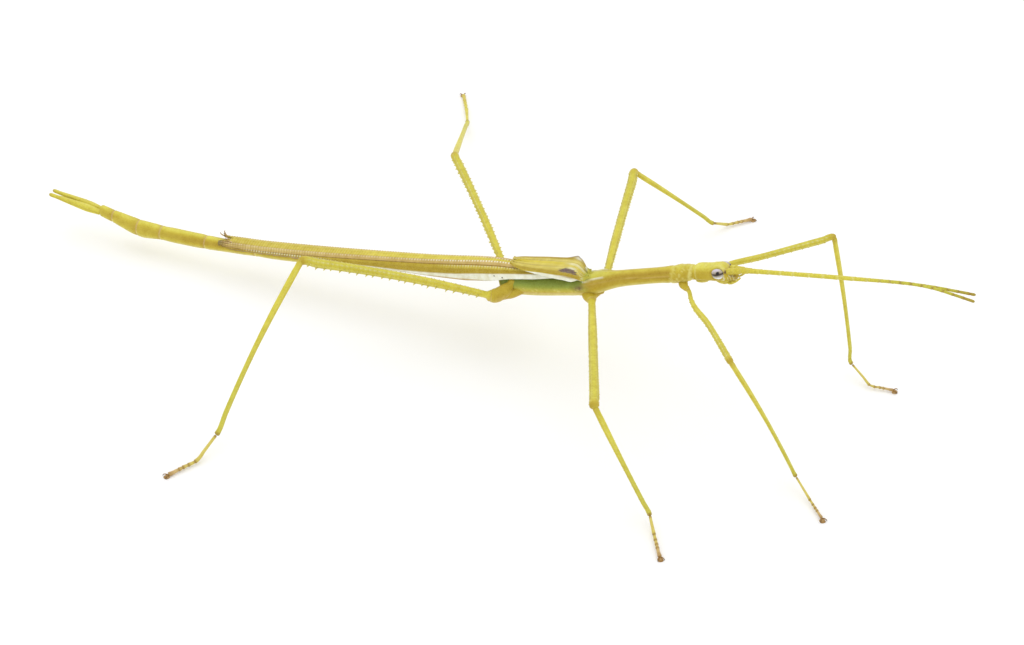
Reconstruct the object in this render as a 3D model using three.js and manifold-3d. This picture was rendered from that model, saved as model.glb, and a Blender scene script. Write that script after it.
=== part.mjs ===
// Winged stick insect, adult, standing on all six feet with its wings folded.
// Millimetres, heading +X, its own left +Y, up +Z. The floor is z = 0 and the origin is the
// middle of the bounding box on the floor. Heights and lengths below are measured from the
// point of the floor under the middle pair of hips; the last lines shift the whole insect.

import * as THREE from "three";
import { mergeVertices } from "three/addons/utils/BufferGeometryUtils.js";
import Module from "manifold-3d";

const wasm = await Module();
wasm.setup();

// ---------------------------------------------------------------- driving dimensions
const GAP = 0.2; // between the end of a tarsus and its foot
const UP = new THREE.Vector3(0, 0, 1);

// Trunk rows, tail to neck: x, height of the axis, half width, depth above and below the axis.
const TRUNK = [
  [-88.5, 5.6, 0.85, 1.0, 1.0],
  [-85.6, 4.9, 1.0, 1.1, 1.15],
  [-81.2, 4.0, 1.25, 1.35, 1.65],
  [-77.4, 4.05, 1.2, 1.25, 1.3],
  [-69.9, 4.4, 1.15, 1.2, 1.25],
  [-63.6, 5.1, 1.1, 0.8, 1.25],
  [-55.2, 6.1, 1.1, 0.8, 1.25],
  [-48.0, 7.3, 1.1, 0.85, 1.25],
  [-37.2, 9.6, 1.1, 0.8, 1.25],
  [-26.9, 11.85, 1.1, 0.8, 1.2],
  [-16.4, 13.5, 1.15, 0.85, 1.2],
];
const THORAX = [
  [-15.8, 12.2, 1.5, 1.7, 1.7],
  [-13.8, 12.55, 2.05, 1.65, 2.15],
  [-9.5, 13.4, 2.15, 1.5, 2.15],
  [-4.5, 14.8, 2.15, 1.4, 2.1],
  [-0.9, 15.9, 2.15, 1.6, 2.05],
  [0.9, 16.7, 1.95, 1.6, 1.95],
  [2.6, 17.45, 1.5, 1.35, 1.65],
  [4.6, 18.35, 1.3, 1.25, 1.45],
  [10.3, 20.5, 1.22, 1.28, 1.32],
  [12.2, 21.2, 1.35, 1.45, 1.4],
  [13.6, 21.75, 1.5, 1.5, 1.5],
  [15.0, 22.3, 1.35, 1.4, 1.35],
  [15.7, 22.6, 1.15, 1.2, 1.15],
];
const SEGMENT_JOINTS = [-85.9, -81.3, -76.9, -68.7, -59.3, -48.8, -38.2, -27.6];
const SEGMENT_PINCH = 0.07; // how much the trunk narrows at a segment joint
const SEGMENT_PINCH_WIDTH = 0.45;
const SEGMENT_PINCH_STEP = 0.6; // from a segment joint to the ring before and after it
const TRUNK_SIDES = 12;

// Named lengths of the trunk, from x to x, with the stations of each.
const TRUNK_LENGTHS = [
  { name: "abdomen_tip", rows: TRUNK, from: -88.3, to: -77.0, steps: 11 },
  { name: "abdomen_rear", rows: TRUNK, from: -76.8, to: -59.4, steps: 9 },
  { name: "abdomen_middle", rows: TRUNK, from: -59.2, to: -38.3, steps: 9 },
  { name: "abdomen_base", rows: TRUNK, from: -38.1, to: -16.2, steps: 9 },
  { name: "metathorax", rows: THORAX, from: -15.7, to: -1.1, steps: 9 },
  { name: "mesothorax", rows: THORAX, from: -0.9, to: 12.1, steps: 11 },
  { name: "prothorax", rows: THORAX, from: 12.3, to: 15.3, steps: 5 },
];

// Head: its own frame starts at the neck, x along the head.
const HEAD = { neck: [15.95, -0.05, 22.5], turn: -10, lift: 22 };
const SKULL = [
  // x, height of the axis, half width, depth above and below
  [0.0, 0.0, 1.0, 1.0, 1.0],
  [0.8, 0.1, 1.38, 1.45, 1.3],
  [2.6, 0.1, 1.5, 1.6, 1.35],
  [4.4, 0.1, 1.42, 1.6, 1.25],
  [5.6, 0.15, 1.28, 1.3, 1.15],
  [6.4, 0.0, 1.05, 0.6, 1.0],
  [7.1, -0.35, 0.7, 0.25, 0.55],
];
const SOCKET = { along: 6.5, out: 0.54, up: 0.62, size: 0.72 }; // of an antenna
const MOUTH = [
  [4.5, -1.52, 0.45, 0.05, 0.25],
  [5.1, -1.5, 0.85, 0.1, 0.4],
  [6.3, -1.35, 0.85, 0.15, 0.5],
  [7.2, -1.15, 0.6, 0.15, 0.45],
  [7.7, -1.05, 0.3, 0.15, 0.3],
];
const EYE = { along: 5.0, out: 1.12, up: 0.55, size: [1.02, 0.66, 0.88], socket: 0.12 };
const PALP_THICK = 0.22;

// Legs of each pair: hip (right side is mirrored), lengths and half widths.
const PAIRS = {
  fore: {
    hip: [15.6, 1.9, 20.4], root: [14.8, 1.2, 20.85], rootOut: [0.1, 0.75, -0.66],
    femur: 21.8, tibia: 23.8, basal: 4.7, toes: 4.2, bow: 0.5,
    coxaThick: 0.6, femurBase: 0.28, femurThick: 0.44, tibiaThick: 0.31, tarsusThick: 0.23,
  },
  middle: {
    hip: [0.3, 2.9, 14.65], root: [-0.15, 1.95, 14.85], rootOut: [0, 0.75, -0.66],
    femur: 29.3, tibia: 18.9, basal: 3.6, toes: 4.9, bow: 0,
    coxaThick: 0.82, femurBase: 0.5, femurThick: 0.64, tibiaThick: 0.36, tarsusThick: 0.3,
  },
  hind: {
    hip: [-16.5, 3.2, 10.9], root: [-14.5, 2.3, 12.1], rootOut: [-0.25, 0.95, -0.1],
    femur: 30.7, tibia: 30.0, basal: 5.0, toes: 5.6, bow: 0,
    coxaThick: 0.9, femurBase: 0.5, femurThick: 0.59, tibiaThick: 0.4, tarsusThick: 0.33,
  },
};
// Pose: turns in degrees from straight ahead, to the left; lift above level; ankle height; how far
// femur and tibia bow sideways, to the left of their own way, and upwards.
const POSE = {
  fore_left: {
    femurTurn: 31.5, femurLift: 13.4, tibiaTurn: -1.5, ankle: 2.1, basalTurn: -30, toeTurn: 7.5,
    femurBow: [0.1, 0.13], tibiaBow: [0.05, 0.22],
  },
  fore_right: {
    femurTurn: -54, femurLift: 7.5, tibiaTurn: 18, ankle: 2.0, basalTurn: -41, toeTurn: -46.5,
    femurBow: [0, 0], tibiaBow: [0.08, 0.29],
  },
  middle_left: {
    femurTurn: 101.5, femurLift: 0.6, tibiaTurn: 36.5, ankle: 2.2, basalTurn: 57, toeTurn: 46,
    femurBow: [0.12, 0], tibiaBow: [0.03, 0.08],
  },
  middle_right: {
    femurTurn: -68, femurLift: 5.6, tibiaTurn: -12.5, ankle: 1.55, basalTurn: -58, toeTurn: -59.5,
    femurBow: [0, 0], tibiaBow: [-0.05, -0.05],
  },
  hind_left: {
    femurTurn: 129, femurLift: 4.5, tibiaTurn: 109, ankle: 1.4, basalTurn: 115, toeTurn: 119,
    femurBow: [-0.25, 0.06], tibiaBow: [0, 0],
  },
  hind_right: {
    femurTurn: -152.5, femurLift: 16.5, tibiaTurn: -97.5, ankle: 2.7, basalTurn: -105.5, toeTurn: -120,
    femurBow: [-0.26, 0.34], tibiaBow: [-0.43, 0.26],
  },
};
const TOE_BEND_HEIGHT = 0.6;
const TOE_TIP_HEIGHT = 0.36;
const HIP_SETBACK = 0.45; // from the end of a coxa to its femur
const KNEE_SETBACK = 0.65;
const ANKLE_SETBACK = 0.3;
const FOOT_LENGTH = 0.95; // from the end of the tarsus to the claw tips
const FOOT_PAD = { length: 0.5, width: 0.4, height: 0.5 };

// Forewings (tegmina): x, height at the back line, half width, height of the lower edge.
const TEGMEN = [
  [-14.2, 16.65, 1.0, 16.45],
  [-13.0, 16.75, 1.7, 16.3],
  [-10.5, 17.05, 2.1, 16.35],
  [-7.3, 17.7, 2.35, 16.6],
  [-4.0, 18.3, 2.45, 16.75],
  [-2.4, 18.05, 2.4, 17.0],
  [-1.0, 17.95, 2.1, 17.3],
];
const TEGMEN_THICK = 0.5;
const HUMP = { x: -4.6, across: 0.72, height: 1.15, length: 1.0 };
const CREST_START = -10; // x where the crest rises from the plain wing
const CREST_HEIGHT = 0.35;
const CREST_WIDTH = 0.2; // as a share of the way across
const TEGMEN_ARC = 1.46; // radians from the back line to the lower edge

// Hind wings, folded into a roof over the abdomen: x, ridge height, half width, edge height.
const HINDWING = [
  [-66.0, 6.45, 1.5, 5.5],
  [-63.6, 6.7, 1.6, 5.5],
  [-59.1, 7.18, 1.65, 6.05],
  [-48.1, 9.05, 1.85, 7.85],
  [-33.9, 11.9, 2.0, 10.0],
  [-26.9, 13.4, 2.2, 11.0],
  [-20.0, 15.05, 2.5, 12.3],
  [-15.7, 15.85, 2.6, 13.1],
  [-12.7, 16.1, 2.5, 14.1],
  [-8.1, 16.95, 2.25, 15.35],
  [-4.9, 17.3, 1.8, 16.3],
];
const HINDWING_THICK = 0.5;

// Antennae: points of the midline, beyond the socket.
const ANTENNA = {
  right: [[24.2, -1.95, 26.6], [39.4, -3.6, 30.85], [52.3, -5.2, 34.25], [60.2, -6.4, 34.55]],
  left: [[24.1, -0.95, 26.05], [39.1, -2.6, 30.2], [52.1, -4.1, 33.5], [59.9, -4.7, 34.5]],
};
const ANTENNA_BASE = 0.38;
const ANTENNA_TIP = 0.25;
const SCAPE = { at: 0.035, reach: 0.035, swell: 0.14 }; // thick first joint, as shares of the length
const ANTENNA_SPREAD = 1.6; // how much closer together the rings are at the base

// Tail appendages (cerci): long narrow blades.
const CERCUS = { root: [-88.9, 0.42, 5.45], tip: [-97.75, 0.62, 6.65], width: 0.36, depth: 0.5 };

const COLOURS = {
  body: 0xc3b02f, leg: 0xc6be40, tarsus: 0x9a8040, wing: 0xb99a35, tegmen: 0xbba62c,
  meta: 0x86a03c, eye: 0xb9a9ad, antenna: 0xc4ab3a, claw: 0x7d5b33,
};

// ---------------------------------------------------------------- helpers
const insect = new THREE.Group();

function finish(name, geometry, colour, parent = insect, roughness = 0.55) {
  const material = new THREE.MeshStandardMaterial({ color: colour, roughness, metalness: 0 });
  const mesh = new THREE.Mesh(geometry, material);
  mesh.name = name;
  parent.add(mesh);
  return mesh;
}

function bare(geometry) {
  geometry.deleteAttribute("normal");
  geometry.deleteAttribute("uv");
  return mergeVertices(geometry, 1e-5);
}

/** Value of each column of `rows` at x, on a smooth curve through the rows. */
function rowAt(rows, x) {
  const last = rows.length - 1;
  let i = 0;
  while (i < last - 1 && x > rows[i + 1][0]) i += 1;
  const [a, b] = [rows[i], rows[i + 1]];
  const before = rows[Math.max(i - 1, 0)];
  const after = rows[Math.min(i + 2, last)];
  const span = b[0] - a[0];
  const t = THREE.MathUtils.clamp((x - a[0]) / span, 0, 1);
  return a.slice(1).map((value, column) => {
    const k = column + 1;
    const slopeA = ((b[k] - before[k]) / (b[0] - before[0])) * span;
    const slopeB = ((after[k] - a[k]) / (after[0] - a[0])) * span;
    const h = t * t * (3 - 2 * t);
    return value * (1 - h) + b[k] * h + slopeA * t * (1 - t) ** 2 - slopeB * t * t * (1 - t);
  });
}

/** Closed tube: a cylinder's rings moved to place(t, sine, cosine, radius), t from 0 to 1. */
function tube(sides, steps, place) {
  const geometry = bare(new THREE.CylinderGeometry(1, 1, 1, sides, steps));
  const position = geometry.attributes.position;
  for (let i = 0; i < position.count; i += 1) {
    const point = place(position.getY(i) + 0.5, position.getX(i), position.getZ(i));
    position.setXYZ(i, ...point.toArray());
  }
  return geometry;
}

/** Tube along a curve; section(t, angle) gives the radius in mm. */
function limb(curve, sides, steps, section) {
  return tube(sides, steps, (t, sine, cosine) => {
    const tangent = curve.getTangentAt(t);
    const side = new THREE.Vector3().crossVectors(tangent, UP).normalize();
    const over = new THREE.Vector3().crossVectors(side, tangent);
    const reach = Math.hypot(sine, cosine) < 0.5 ? 0 : section(t, Math.atan2(sine, cosine));
    return curve.getPointAt(t).addScaledVector(side, sine * reach).addScaledVector(over, cosine * reach);
  });
}

/** Slab: a box's vertices moved to place(across, depth, along), each from 0 to 1. */
function slab(across, along, place) {
  const geometry = bare(new THREE.BoxGeometry(1, 1, 1, across, 1, along));
  const position = geometry.attributes.position;
  for (let i = 0; i < position.count; i += 1) {
    const [u, v, s] = [position.getX(i), position.getY(i), position.getZ(i)].map((c) => c + 0.5);
    position.setXYZ(i, ...place(u, v, s).toArray());
  }
  return geometry;
}

/** Same geometry with every face turned round. */
function turned(geometry) {
  const index = geometry.index.array;
  for (let i = 0; i < index.length; i += 3) [index[i], index[i + 1]] = [index[i + 1], index[i]];
  return geometry;
}

function solid(geometry) {
  return new wasm.Manifold(new wasm.Mesh({
    numProp: 3,
    vertProperties: new Float32Array(geometry.attributes.position.array),
    triVerts: new Uint32Array(geometry.index.array),
  }));
}

function fromSolid(body) {
  const mesh = body.getMesh();
  const geometry = new THREE.BufferGeometry();
  geometry.setAttribute("position", new THREE.BufferAttribute(mesh.vertProperties, 3));
  geometry.setIndex(new THREE.BufferAttribute(mesh.triVerts, 1));
  return geometry;
}

const vector = (point) => new THREE.Vector3(...point);

/** Unit vector from a turn to the left and a lift above level, in degrees. */
function direction(turn, lift) {
  const [a, b] = [turn, lift].map(THREE.MathUtils.degToRad);
  return new THREE.Vector3(Math.cos(a) * Math.cos(b), Math.sin(a) * Math.cos(b), Math.sin(b));
}

/** End of a straight piece from `start` that comes down to a given height. */
function reachDown(start, turn, length, height) {
  const lift = THREE.MathUtils.radToDeg(Math.asin((height - start.z) / length));
  return start.clone().addScaledVector(direction(turn, lift), length);
}

// ---------------------------------------------------------------- trunk
function pinchAt(x) {
  return SEGMENT_JOINTS.reduce(
    (factor, joint) => factor - SEGMENT_PINCH * Math.exp(-(((x - joint) / SEGMENT_PINCH_WIDTH) ** 2)),
    1,
  );
}

function trunkLength({ name, rows, from, to, steps }) {
  const joints = rows === TRUNK ? SEGMENT_JOINTS.filter((x) => x > from + 1 && x < to - 1) : [];
  const even = Array.from({ length: steps + 1 }, (_, i) => from + ((to - from) * i) / steps);
  const clear = even.filter((x) => joints.every((joint) => Math.abs(x - joint) > 1.5 * SEGMENT_PINCH_STEP));
  const rings = joints.flatMap((x) => [x - SEGMENT_PINCH_STEP, x, x + SEGMENT_PINCH_STEP]);
  const stations = [...clear, ...rings].sort((a, b) => a - b);
  const geometry = tube(TRUNK_SIDES, stations.length - 1, (t, sine, cosine) => {
    const x = stations[Math.round(t * (stations.length - 1))];
    const [z, width, above, below] = rowAt(rows, x);
    const size = rows === TRUNK ? pinchAt(x) : 1;
    const height = cosine > 0 ? above : below;
    return new THREE.Vector3(x, -sine * width * size, z + cosine * height * size);
  });
  finish(name, geometry, name === "metathorax" ? COLOURS.meta : COLOURS.body);
}

// ---------------------------------------------------------------- head
function headTube(rows, sides, steps) {
  const [from, to] = [rows[0][0], rows[rows.length - 1][0]];
  return tube(sides, steps, (t, sine, cosine) => {
    const x = from + (to - from) * t;
    const [z, width, above, below] = rowAt(rows, x);
    return new THREE.Vector3(x, -sine * width, z + cosine * (cosine > 0 ? above : below));
  });
}

function eyeball(side, extra) {
  const geometry = bare(new THREE.SphereGeometry(1, 12, 8));
  geometry.scale(...EYE.size.map((half) => half + extra));
  geometry.translate(EYE.along, side * EYE.out, EYE.up);
  return geometry;
}

function palp(points) {
  const curve = new THREE.CatmullRomCurve3(points.map(vector));
  return limb(curve, 5, 3, (t) => PALP_THICK * Math.sqrt(1.02 - t * t));
}

const head = new THREE.Group();
head.position.set(...HEAD.neck);
head.rotation.set(0, -THREE.MathUtils.degToRad(HEAD.lift), THREE.MathUtils.degToRad(HEAD.turn), "ZYX");
head.updateMatrix();
insect.add(head);

const socketAt = (side) => new THREE.Vector3(SOCKET.along, side * SOCKET.out, SOCKET.up);

function makeHead() {
  let skull = solid(headTube(SKULL, 14, 10));
  for (const side of [1, -1]) {
    const socket = bare(new THREE.SphereGeometry(SOCKET.size, 10, 6));
    socket.translate(...socketAt(side).toArray());
    skull = skull.subtract(solid(eyeball(side, EYE.socket))).subtract(solid(socket));
  }
  finish("head", fromSolid(skull), COLOURS.body, head);
  finish("eye_left", eyeball(1, 0), COLOURS.eye, head, 0.2);
  finish("eye_right", eyeball(-1, 0), COLOURS.eye, head, 0.2);

  let mouth = solid(headTube(MOUTH, 10, 7));
  for (const side of [1, -1]) {
    const long = palp([[6.4, side * 0.75, -1.35], [7.3, side * 1.0, -1.45], [8.1, side * 0.95, -1.05],
      [8.8, side * 0.75, -0.5]]);
    const short = palp([[6.2, side * 0.35, -1.6], [7.0, side * 0.45, -1.8], [7.7, side * 0.4, -1.65]]);
    mouth = mouth.add(solid(long)).add(solid(short));
  }
  finish("mouthparts", fromSolid(mouth), COLOURS.body, head);
}

function makeAntenna(side, name) {
  const base = socketAt(side).applyMatrix4(head.matrix);
  const curve = new THREE.CatmullRomCurve3([base, ...ANTENNA[name].map(vector)]);
  const spread = { getPointAt: (t) => curve.getPointAt(t ** ANTENNA_SPREAD) };
  spread.getTangentAt = (t) => curve.getTangentAt(t ** ANTENNA_SPREAD);
  const thick = (t) => {
    const share = t ** ANTENNA_SPREAD;
    const scape = SCAPE.swell * Math.exp(-(((share - SCAPE.at) / SCAPE.reach) ** 2));
    return ANTENNA_TIP + (ANTENNA_BASE - ANTENNA_TIP) * (1 - share) ** 2 + scape;
  };
  finish(`antenna_${name}`, limb(spread, 6, 20, thick), COLOURS.antenna);
}

// ---------------------------------------------------------------- wings
/**
 * Slab from a plain curved form, pushed in by its thickness, out to that form with a raised crest.
 * form(across, x) gives [y, z] on the left side and crest(across, x) a height.
 */
function wing(name, side, rows, thick, steps, colour, form, crest, span) {
  const [from, to] = [rows[0][0], rows[rows.length - 1][0]];
  const geometry = slab(...steps, (u, v, s) => {
    const x = from + (to - from) * s;
    const [low, high] = span(x);
    const place = low + (high - low) * u;
    const [y, z] = form(place, x);
    if (v > 0.5) return new THREE.Vector3(x, side * y, z + crest(place, x));
    const [y2, z2] = form(place + 0.01, x);
    const depth = thick / Math.hypot(y2 - y, z2 - z);
    return new THREE.Vector3(x, side * (y + (z2 - z) * depth), z - (y2 - y) * depth);
  });
  // mirroring the left wing turns its faces inward
  finish(name, side < 0 ? turned(geometry) : geometry, colour);
}

const BACK_LINE = 0.12; // clear of the middle, as a share of the half width

function hindwingForm(u, x) {
  const [ridge, half, edge] = rowAt(HINDWING, x);
  return [half * u, edge + (ridge - edge) * (1 - u ** 2.6)];
}

function hindwingSpan(x) {
  const tip = THREE.MathUtils.smoothstep(x, HINDWING[0][0] - 0.6, HINDWING[0][0] + 3);
  return [0.6 + (BACK_LINE - 0.6) * tip, 0.8 + 0.2 * tip];
}

function tegmenForm(u, x) {
  const [ridge, half, edge] = rowAt(TEGMEN, x);
  const angle = u * TEGMEN_ARC;
  return [(half * Math.sin(angle)) / Math.sin(TEGMEN_ARC), edge + (ridge - edge) * Math.cos(angle)];
}

function tegmenCrest(u, x) {
  const peak = Math.exp(-(((x - HUMP.x) / HUMP.length) ** 2)) * (HUMP.height - CREST_HEIGHT);
  const fade = THREE.MathUtils.smoothstep(x, CREST_START, HUMP.x);
  return Math.exp(-(((u - HUMP.across) / CREST_WIDTH) ** 2)) * (CREST_HEIGHT * fade + peak);
}

function tegmenSpan(x) {
  const tip = THREE.MathUtils.smoothstep(x, TEGMEN[0][0] - 0.4, TEGMEN[0][0] + 1.5);
  return [0.3 + (BACK_LINE / 2 - 0.3) * tip, 0.8 + 0.2 * tip];
}

function makeWings(side, name) {
  const flat = () => 0;
  wing(
    `hindwing_${name}`, side, HINDWING, HINDWING_THICK, [6, 16], COLOURS.wing,
    hindwingForm, flat, hindwingSpan,
  );
  wing(
    `tegmen_${name}`, side, TEGMEN, TEGMEN_THICK, [6, 11], COLOURS.tegmen,
    tegmenForm, tegmenCrest, tegmenSpan,
  );
}

// ---------------------------------------------------------------- tail blades
function makeCercus(side, name) {
  const flip = (point) => new THREE.Vector3(point[0], side * point[1], point[2]);
  const curve = new THREE.LineCurve3(flip(CERCUS.root), flip(CERCUS.tip));
  const section = (t, angle) => {
    const blade = 0.35 + 0.65 * Math.sin(Math.PI * Math.min(0.18 + t * 0.85, 1)) ** 0.7;
    return blade * Math.hypot(CERCUS.width * Math.sin(angle), CERCUS.depth * Math.cos(angle));
  };
  finish(`cercus_${name}`, limb(curve, 8, 6, section), COLOURS.body);
}

// ---------------------------------------------------------------- legs
/** Radius factor that rounds both ends of a limb. */
const roundEnds = (t, reach) => Math.sqrt(Math.min(1, 0.25 + Math.min(t, 1 - t) / reach));

function footSolid() {
  const { length, width, height } = FOOT_PAD;
  const dome = [[0, 0], [0.8, 0], [1, 0.35], [0.8, 0.85], [0, 1]];
  const pad = bare(new THREE.LatheGeometry(dome.map(([r, h]) => new THREE.Vector2(r, h)), 8));
  pad.rotateX(Math.PI / 2);
  pad.scale(length, width, height);
  let foot = solid(pad);
  for (const side of [1, -1]) {
    const curve = new THREE.QuadraticBezierCurve3(
      vector([-0.1, side * 0.12, 0.3]), vector([0.25, side * 0.6, 0.42]), vector([0.45, side * 0.68, 0.16]),
    );
    foot = foot.add(solid(limb(curve, 4, 3, (t) => 0.2 - 0.08 * t)));
  }
  return foot;
}

const FOOT = footSolid();

/** Point at a share of the way from start to end, pushed sideways and up most at the middle. */
function bowed(start, end, [sideways, upwards], share) {
  const way = end.clone().sub(start).normalize();
  const aside = new THREE.Vector3(0, 0, 1).cross(way).normalize();
  const above = way.clone().cross(aside);
  const swing = Math.sin(Math.PI * share);
  return start.clone().lerp(end, share)
    .addScaledVector(aside, sideways * swing)
    .addScaledVector(above, upwards * swing);
}

function makeLeg(pairName, sideName) {
  const pair = PAIRS[pairName];
  const name = `${pairName}_${sideName}`;
  const pose = POSE[name];
  const side = sideName === "left" ? 1 : -1;
  const mirrored = ([x, y, z]) => new THREE.Vector3(x, side * y, z);

  const hip = mirrored(pair.hip);
  const femurWay = direction(pose.femurTurn, pose.femurLift);
  const knee = hip.clone().addScaledVector(femurWay, pair.femur);
  const ankle = reachDown(knee, pose.tibiaTurn, pair.tibia, pose.ankle);
  const bend = reachDown(ankle, pose.basalTurn, pair.basal, TOE_BEND_HEIGHT);
  const tip = reachDown(bend, pose.toeTurn, pair.toes, TOE_TIP_HEIGHT);

  const root = mirrored(pair.root);
  const rootHandle = root.clone().addScaledVector(mirrored(pair.rootOut), root.distanceTo(hip) * 0.45);
  const coxa = new THREE.QuadraticBezierCurve3(root, rootHandle, hip);
  const coxaSection = (t) => pair.coxaThick * (1 - 0.28 * t - 0.3 * t ** 4);
  finish(`coxa_${name}`, limb(coxa, 8, 4, coxaSection), COLOURS.body);

  const outward = direction(pose.femurTurn + side * 90, 0);
  const onFemur = (share, lean) => bowed(hip, knee, pose.femurBow, share)
    .addScaledVector(outward, lean * pair.bow);
  const femur = new THREE.CatmullRomCurve3([
    onFemur(HIP_SETBACK / pair.femur, 0), onFemur(0.12, 0.75), onFemur(0.26, 1), onFemur(0.45, 0.1),
    onFemur(0.75, -0.1), onFemur(1, 0),
  ]);
  const femurSection = (t, angle) => {
    const grown = THREE.MathUtils.smoothstep(t, 0, 0.36);
    const thick = pair.femurBase + (pair.femurThick - pair.femurBase) * grown;
    const flare = 1 + 0.1 * THREE.MathUtils.smoothstep(t, 0.55, 0.95);
    return thick * flare * (1 + 0.1 * Math.abs(Math.sin(2 * angle))) * roundEnds(t, 0.03);
  };
  finish(`femur_${name}`, limb(femur, 8, 11, femurSection), COLOURS.leg);

  const shinStart = KNEE_SETBACK / pair.tibia;
  const tibia = new THREE.CatmullRomCurve3(
    [0, 0.25, 0.5, 0.75, 1].map((t) => bowed(knee, ankle, pose.tibiaBow, shinStart + (1 - shinStart) * t)),
  );
  const tibiaSection = (t) => {
    const taper = 1.3 - 0.34 * THREE.MathUtils.smoothstep(t, 0.05, 0.65);
    return pair.tibiaThick * (taper + 0.12 * THREE.MathUtils.smoothstep(t, 0.9, 1)) * roundEnds(t, 0.04);
  };
  finish(`tibia_${name}`, limb(tibia, 6, 8, tibiaSection), COLOURS.leg);

  const start = ankle.clone().lerp(bend, ANKLE_SETBACK / pair.basal);
  const footStart = tip.clone().lerp(bend, FOOT_LENGTH / pair.toes);
  const middle = bend.clone().lerp(footStart, 0.5);
  const tarsus = new THREE.CatmullRomCurve3([start, start.clone().lerp(bend, 0.6), bend, middle, footStart]);
  const lobes = (t) => pair.tarsusThick * (1 - 0.12 * Math.cos(10 * Math.PI * t)) * roundEnds(t, 0.05);
  finish(`tarsus_${name}`, limb(tarsus, 6, 9, lobes), COLOURS.tarsus);

  const foot = finish(`foot_${name}`, fromSolid(FOOT), COLOURS.claw);
  const footWay = tip.clone().sub(footStart).setZ(0).normalize();
  foot.position.copy(footStart).setZ(0).addScaledVector(footWay, GAP / 2 + FOOT_PAD.length);
  foot.rotation.z = Math.atan2(footWay.y, footWay.x);
}

// ---------------------------------------------------------------- assembly
TRUNK_LENGTHS.forEach(trunkLength);
makeHead();
for (const [side, name] of [[1, "left"], [-1, "right"]]) {
  makeAntenna(side, name);
  makeWings(side, name);
  makeCercus(side, name);
  for (const pairName of Object.keys(PAIRS)) makeLeg(pairName, name);
}

const box = new THREE.Box3().setFromObject(insect, true);
insect.position.set(-(box.min.x + box.max.x) / 2, -(box.min.y + box.max.y) / 2, -box.min.z);

const part = new THREE.Group();
part.add(insect);

export default part;
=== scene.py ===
"""Looks of a winged stick insect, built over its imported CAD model.

Forms are worked out in millimetres and scaled to metres when a piece is finished. The insect heads
towards +X with its own left on +Y, and stands on z = 0. Angles round a limb or the trunk start at the
top and grow towards the insect's right.
"""
import math
from dataclasses import dataclass

import bmesh
import bpy
import numpy as np
from mathutils import Matrix, Vector, noise


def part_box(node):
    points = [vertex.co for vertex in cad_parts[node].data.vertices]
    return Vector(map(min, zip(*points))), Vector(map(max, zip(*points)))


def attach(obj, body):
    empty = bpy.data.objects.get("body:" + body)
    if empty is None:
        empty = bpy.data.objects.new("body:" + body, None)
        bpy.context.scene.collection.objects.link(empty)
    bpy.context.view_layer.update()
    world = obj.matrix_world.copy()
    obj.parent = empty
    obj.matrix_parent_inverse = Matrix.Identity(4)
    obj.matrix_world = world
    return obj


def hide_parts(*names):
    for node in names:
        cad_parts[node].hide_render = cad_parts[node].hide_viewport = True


bl_info = {
    "name": "Winged stick insect",
    "version": (1, 0, 0),
    "blender": (4, 5, 0),
    "location": "View3D > Sidebar > Insect",
    "description": "Models the skin, wings, eyes, antennae and claws of a winged stick insect",
    "category": "Add Mesh",
}

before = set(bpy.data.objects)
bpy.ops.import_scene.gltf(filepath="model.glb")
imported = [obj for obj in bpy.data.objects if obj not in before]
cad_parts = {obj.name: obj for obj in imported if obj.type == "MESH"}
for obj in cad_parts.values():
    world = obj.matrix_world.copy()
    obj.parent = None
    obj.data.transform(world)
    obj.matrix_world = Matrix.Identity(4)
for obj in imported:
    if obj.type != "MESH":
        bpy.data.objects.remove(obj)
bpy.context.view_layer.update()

MM = 0.001
UP = np.array([0.0, 0.0, 1.0])
SIDES = {"left": 1, "right": -1}
PAIRS = ("fore", "middle", "hind")
LEGS = [f"{pair}_{side}" for pair in PAIRS for side in SIDES]
TRUNK = ("abdomen_tip", "abdomen_rear", "abdomen_middle", "abdomen_base", "metathorax", "mesothorax",
         "prothorax")
FEMUR_SIDES = 8  # corners of a ring in the CAD nodes
SHIN_SIDES = 6
ANTENNA_SIDES = 6
CERCUS_SIDES = 8


# ---------------------------------------------------------------- numbers along a form
def smooth(low, high, value):
    """0 below low, 1 above high, and an even S between them."""
    share = np.clip((value - low) / (high - low), 0, 1)
    return share * share * (3 - 2 * share)


def bell(value, middle, width):
    """1 at middle, falling off to both sides."""
    return np.exp(-(((value - middle) / width) ** 2))


def through(at, rows, wanted):
    """Values at `wanted` on a smooth curve through rows, which stand at `at`."""
    slopes = np.gradient(rows, at, axis=0)
    i = np.clip(np.searchsorted(at, wanted, side="right") - 1, 0, len(at) - 2)
    span = (at[i + 1] - at[i])[:, None]
    share = np.clip((wanted - at[i])[:, None] / span, 0, 1)
    ease = share * share * (3 - 2 * share)
    leave = slopes[i] * span * share * (1 - share) ** 2
    arrive = slopes[i + 1] * span * share * share * (1 - share)
    return rows[i] * (1 - ease) + rows[i + 1] * ease + leave - arrive


def stations(length, step, caps=(0.0, 0.0), rounds=4):
    """Distances along a form, closer together over its two rounded ends."""
    turn = 1 - np.cos(np.linspace(0, math.pi / 2, rounds + 1))
    count = max(2, round((length - sum(caps)) / step))
    even = np.linspace(caps[0], length - caps[1], count + 1)
    return np.unique(np.round(np.concatenate([caps[0] * turn, even, length - caps[1] * turn]), 6))


def rounded(at, length, caps):
    """Radius factor that closes both ends of a form with domes."""
    factor = np.ones_like(at)
    for reach, cap in ((at, caps[0]), (length - at, caps[1])):
        if cap > 0:
            factor = factor * np.sqrt(np.clip(1 - (1 - np.clip(reach / cap, 0, 1)) ** 2, 0, 1))
    return factor


def rough(spots, size, seed=0.0):
    """Even noise from -1 to 1 at each point; size is that of its lumps."""
    flat = spots.reshape(-1, 3) / size + seed
    return np.array([noise.noise(Vector(spot)) for spot in flat]).reshape(spots.shape[:-1])


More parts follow.
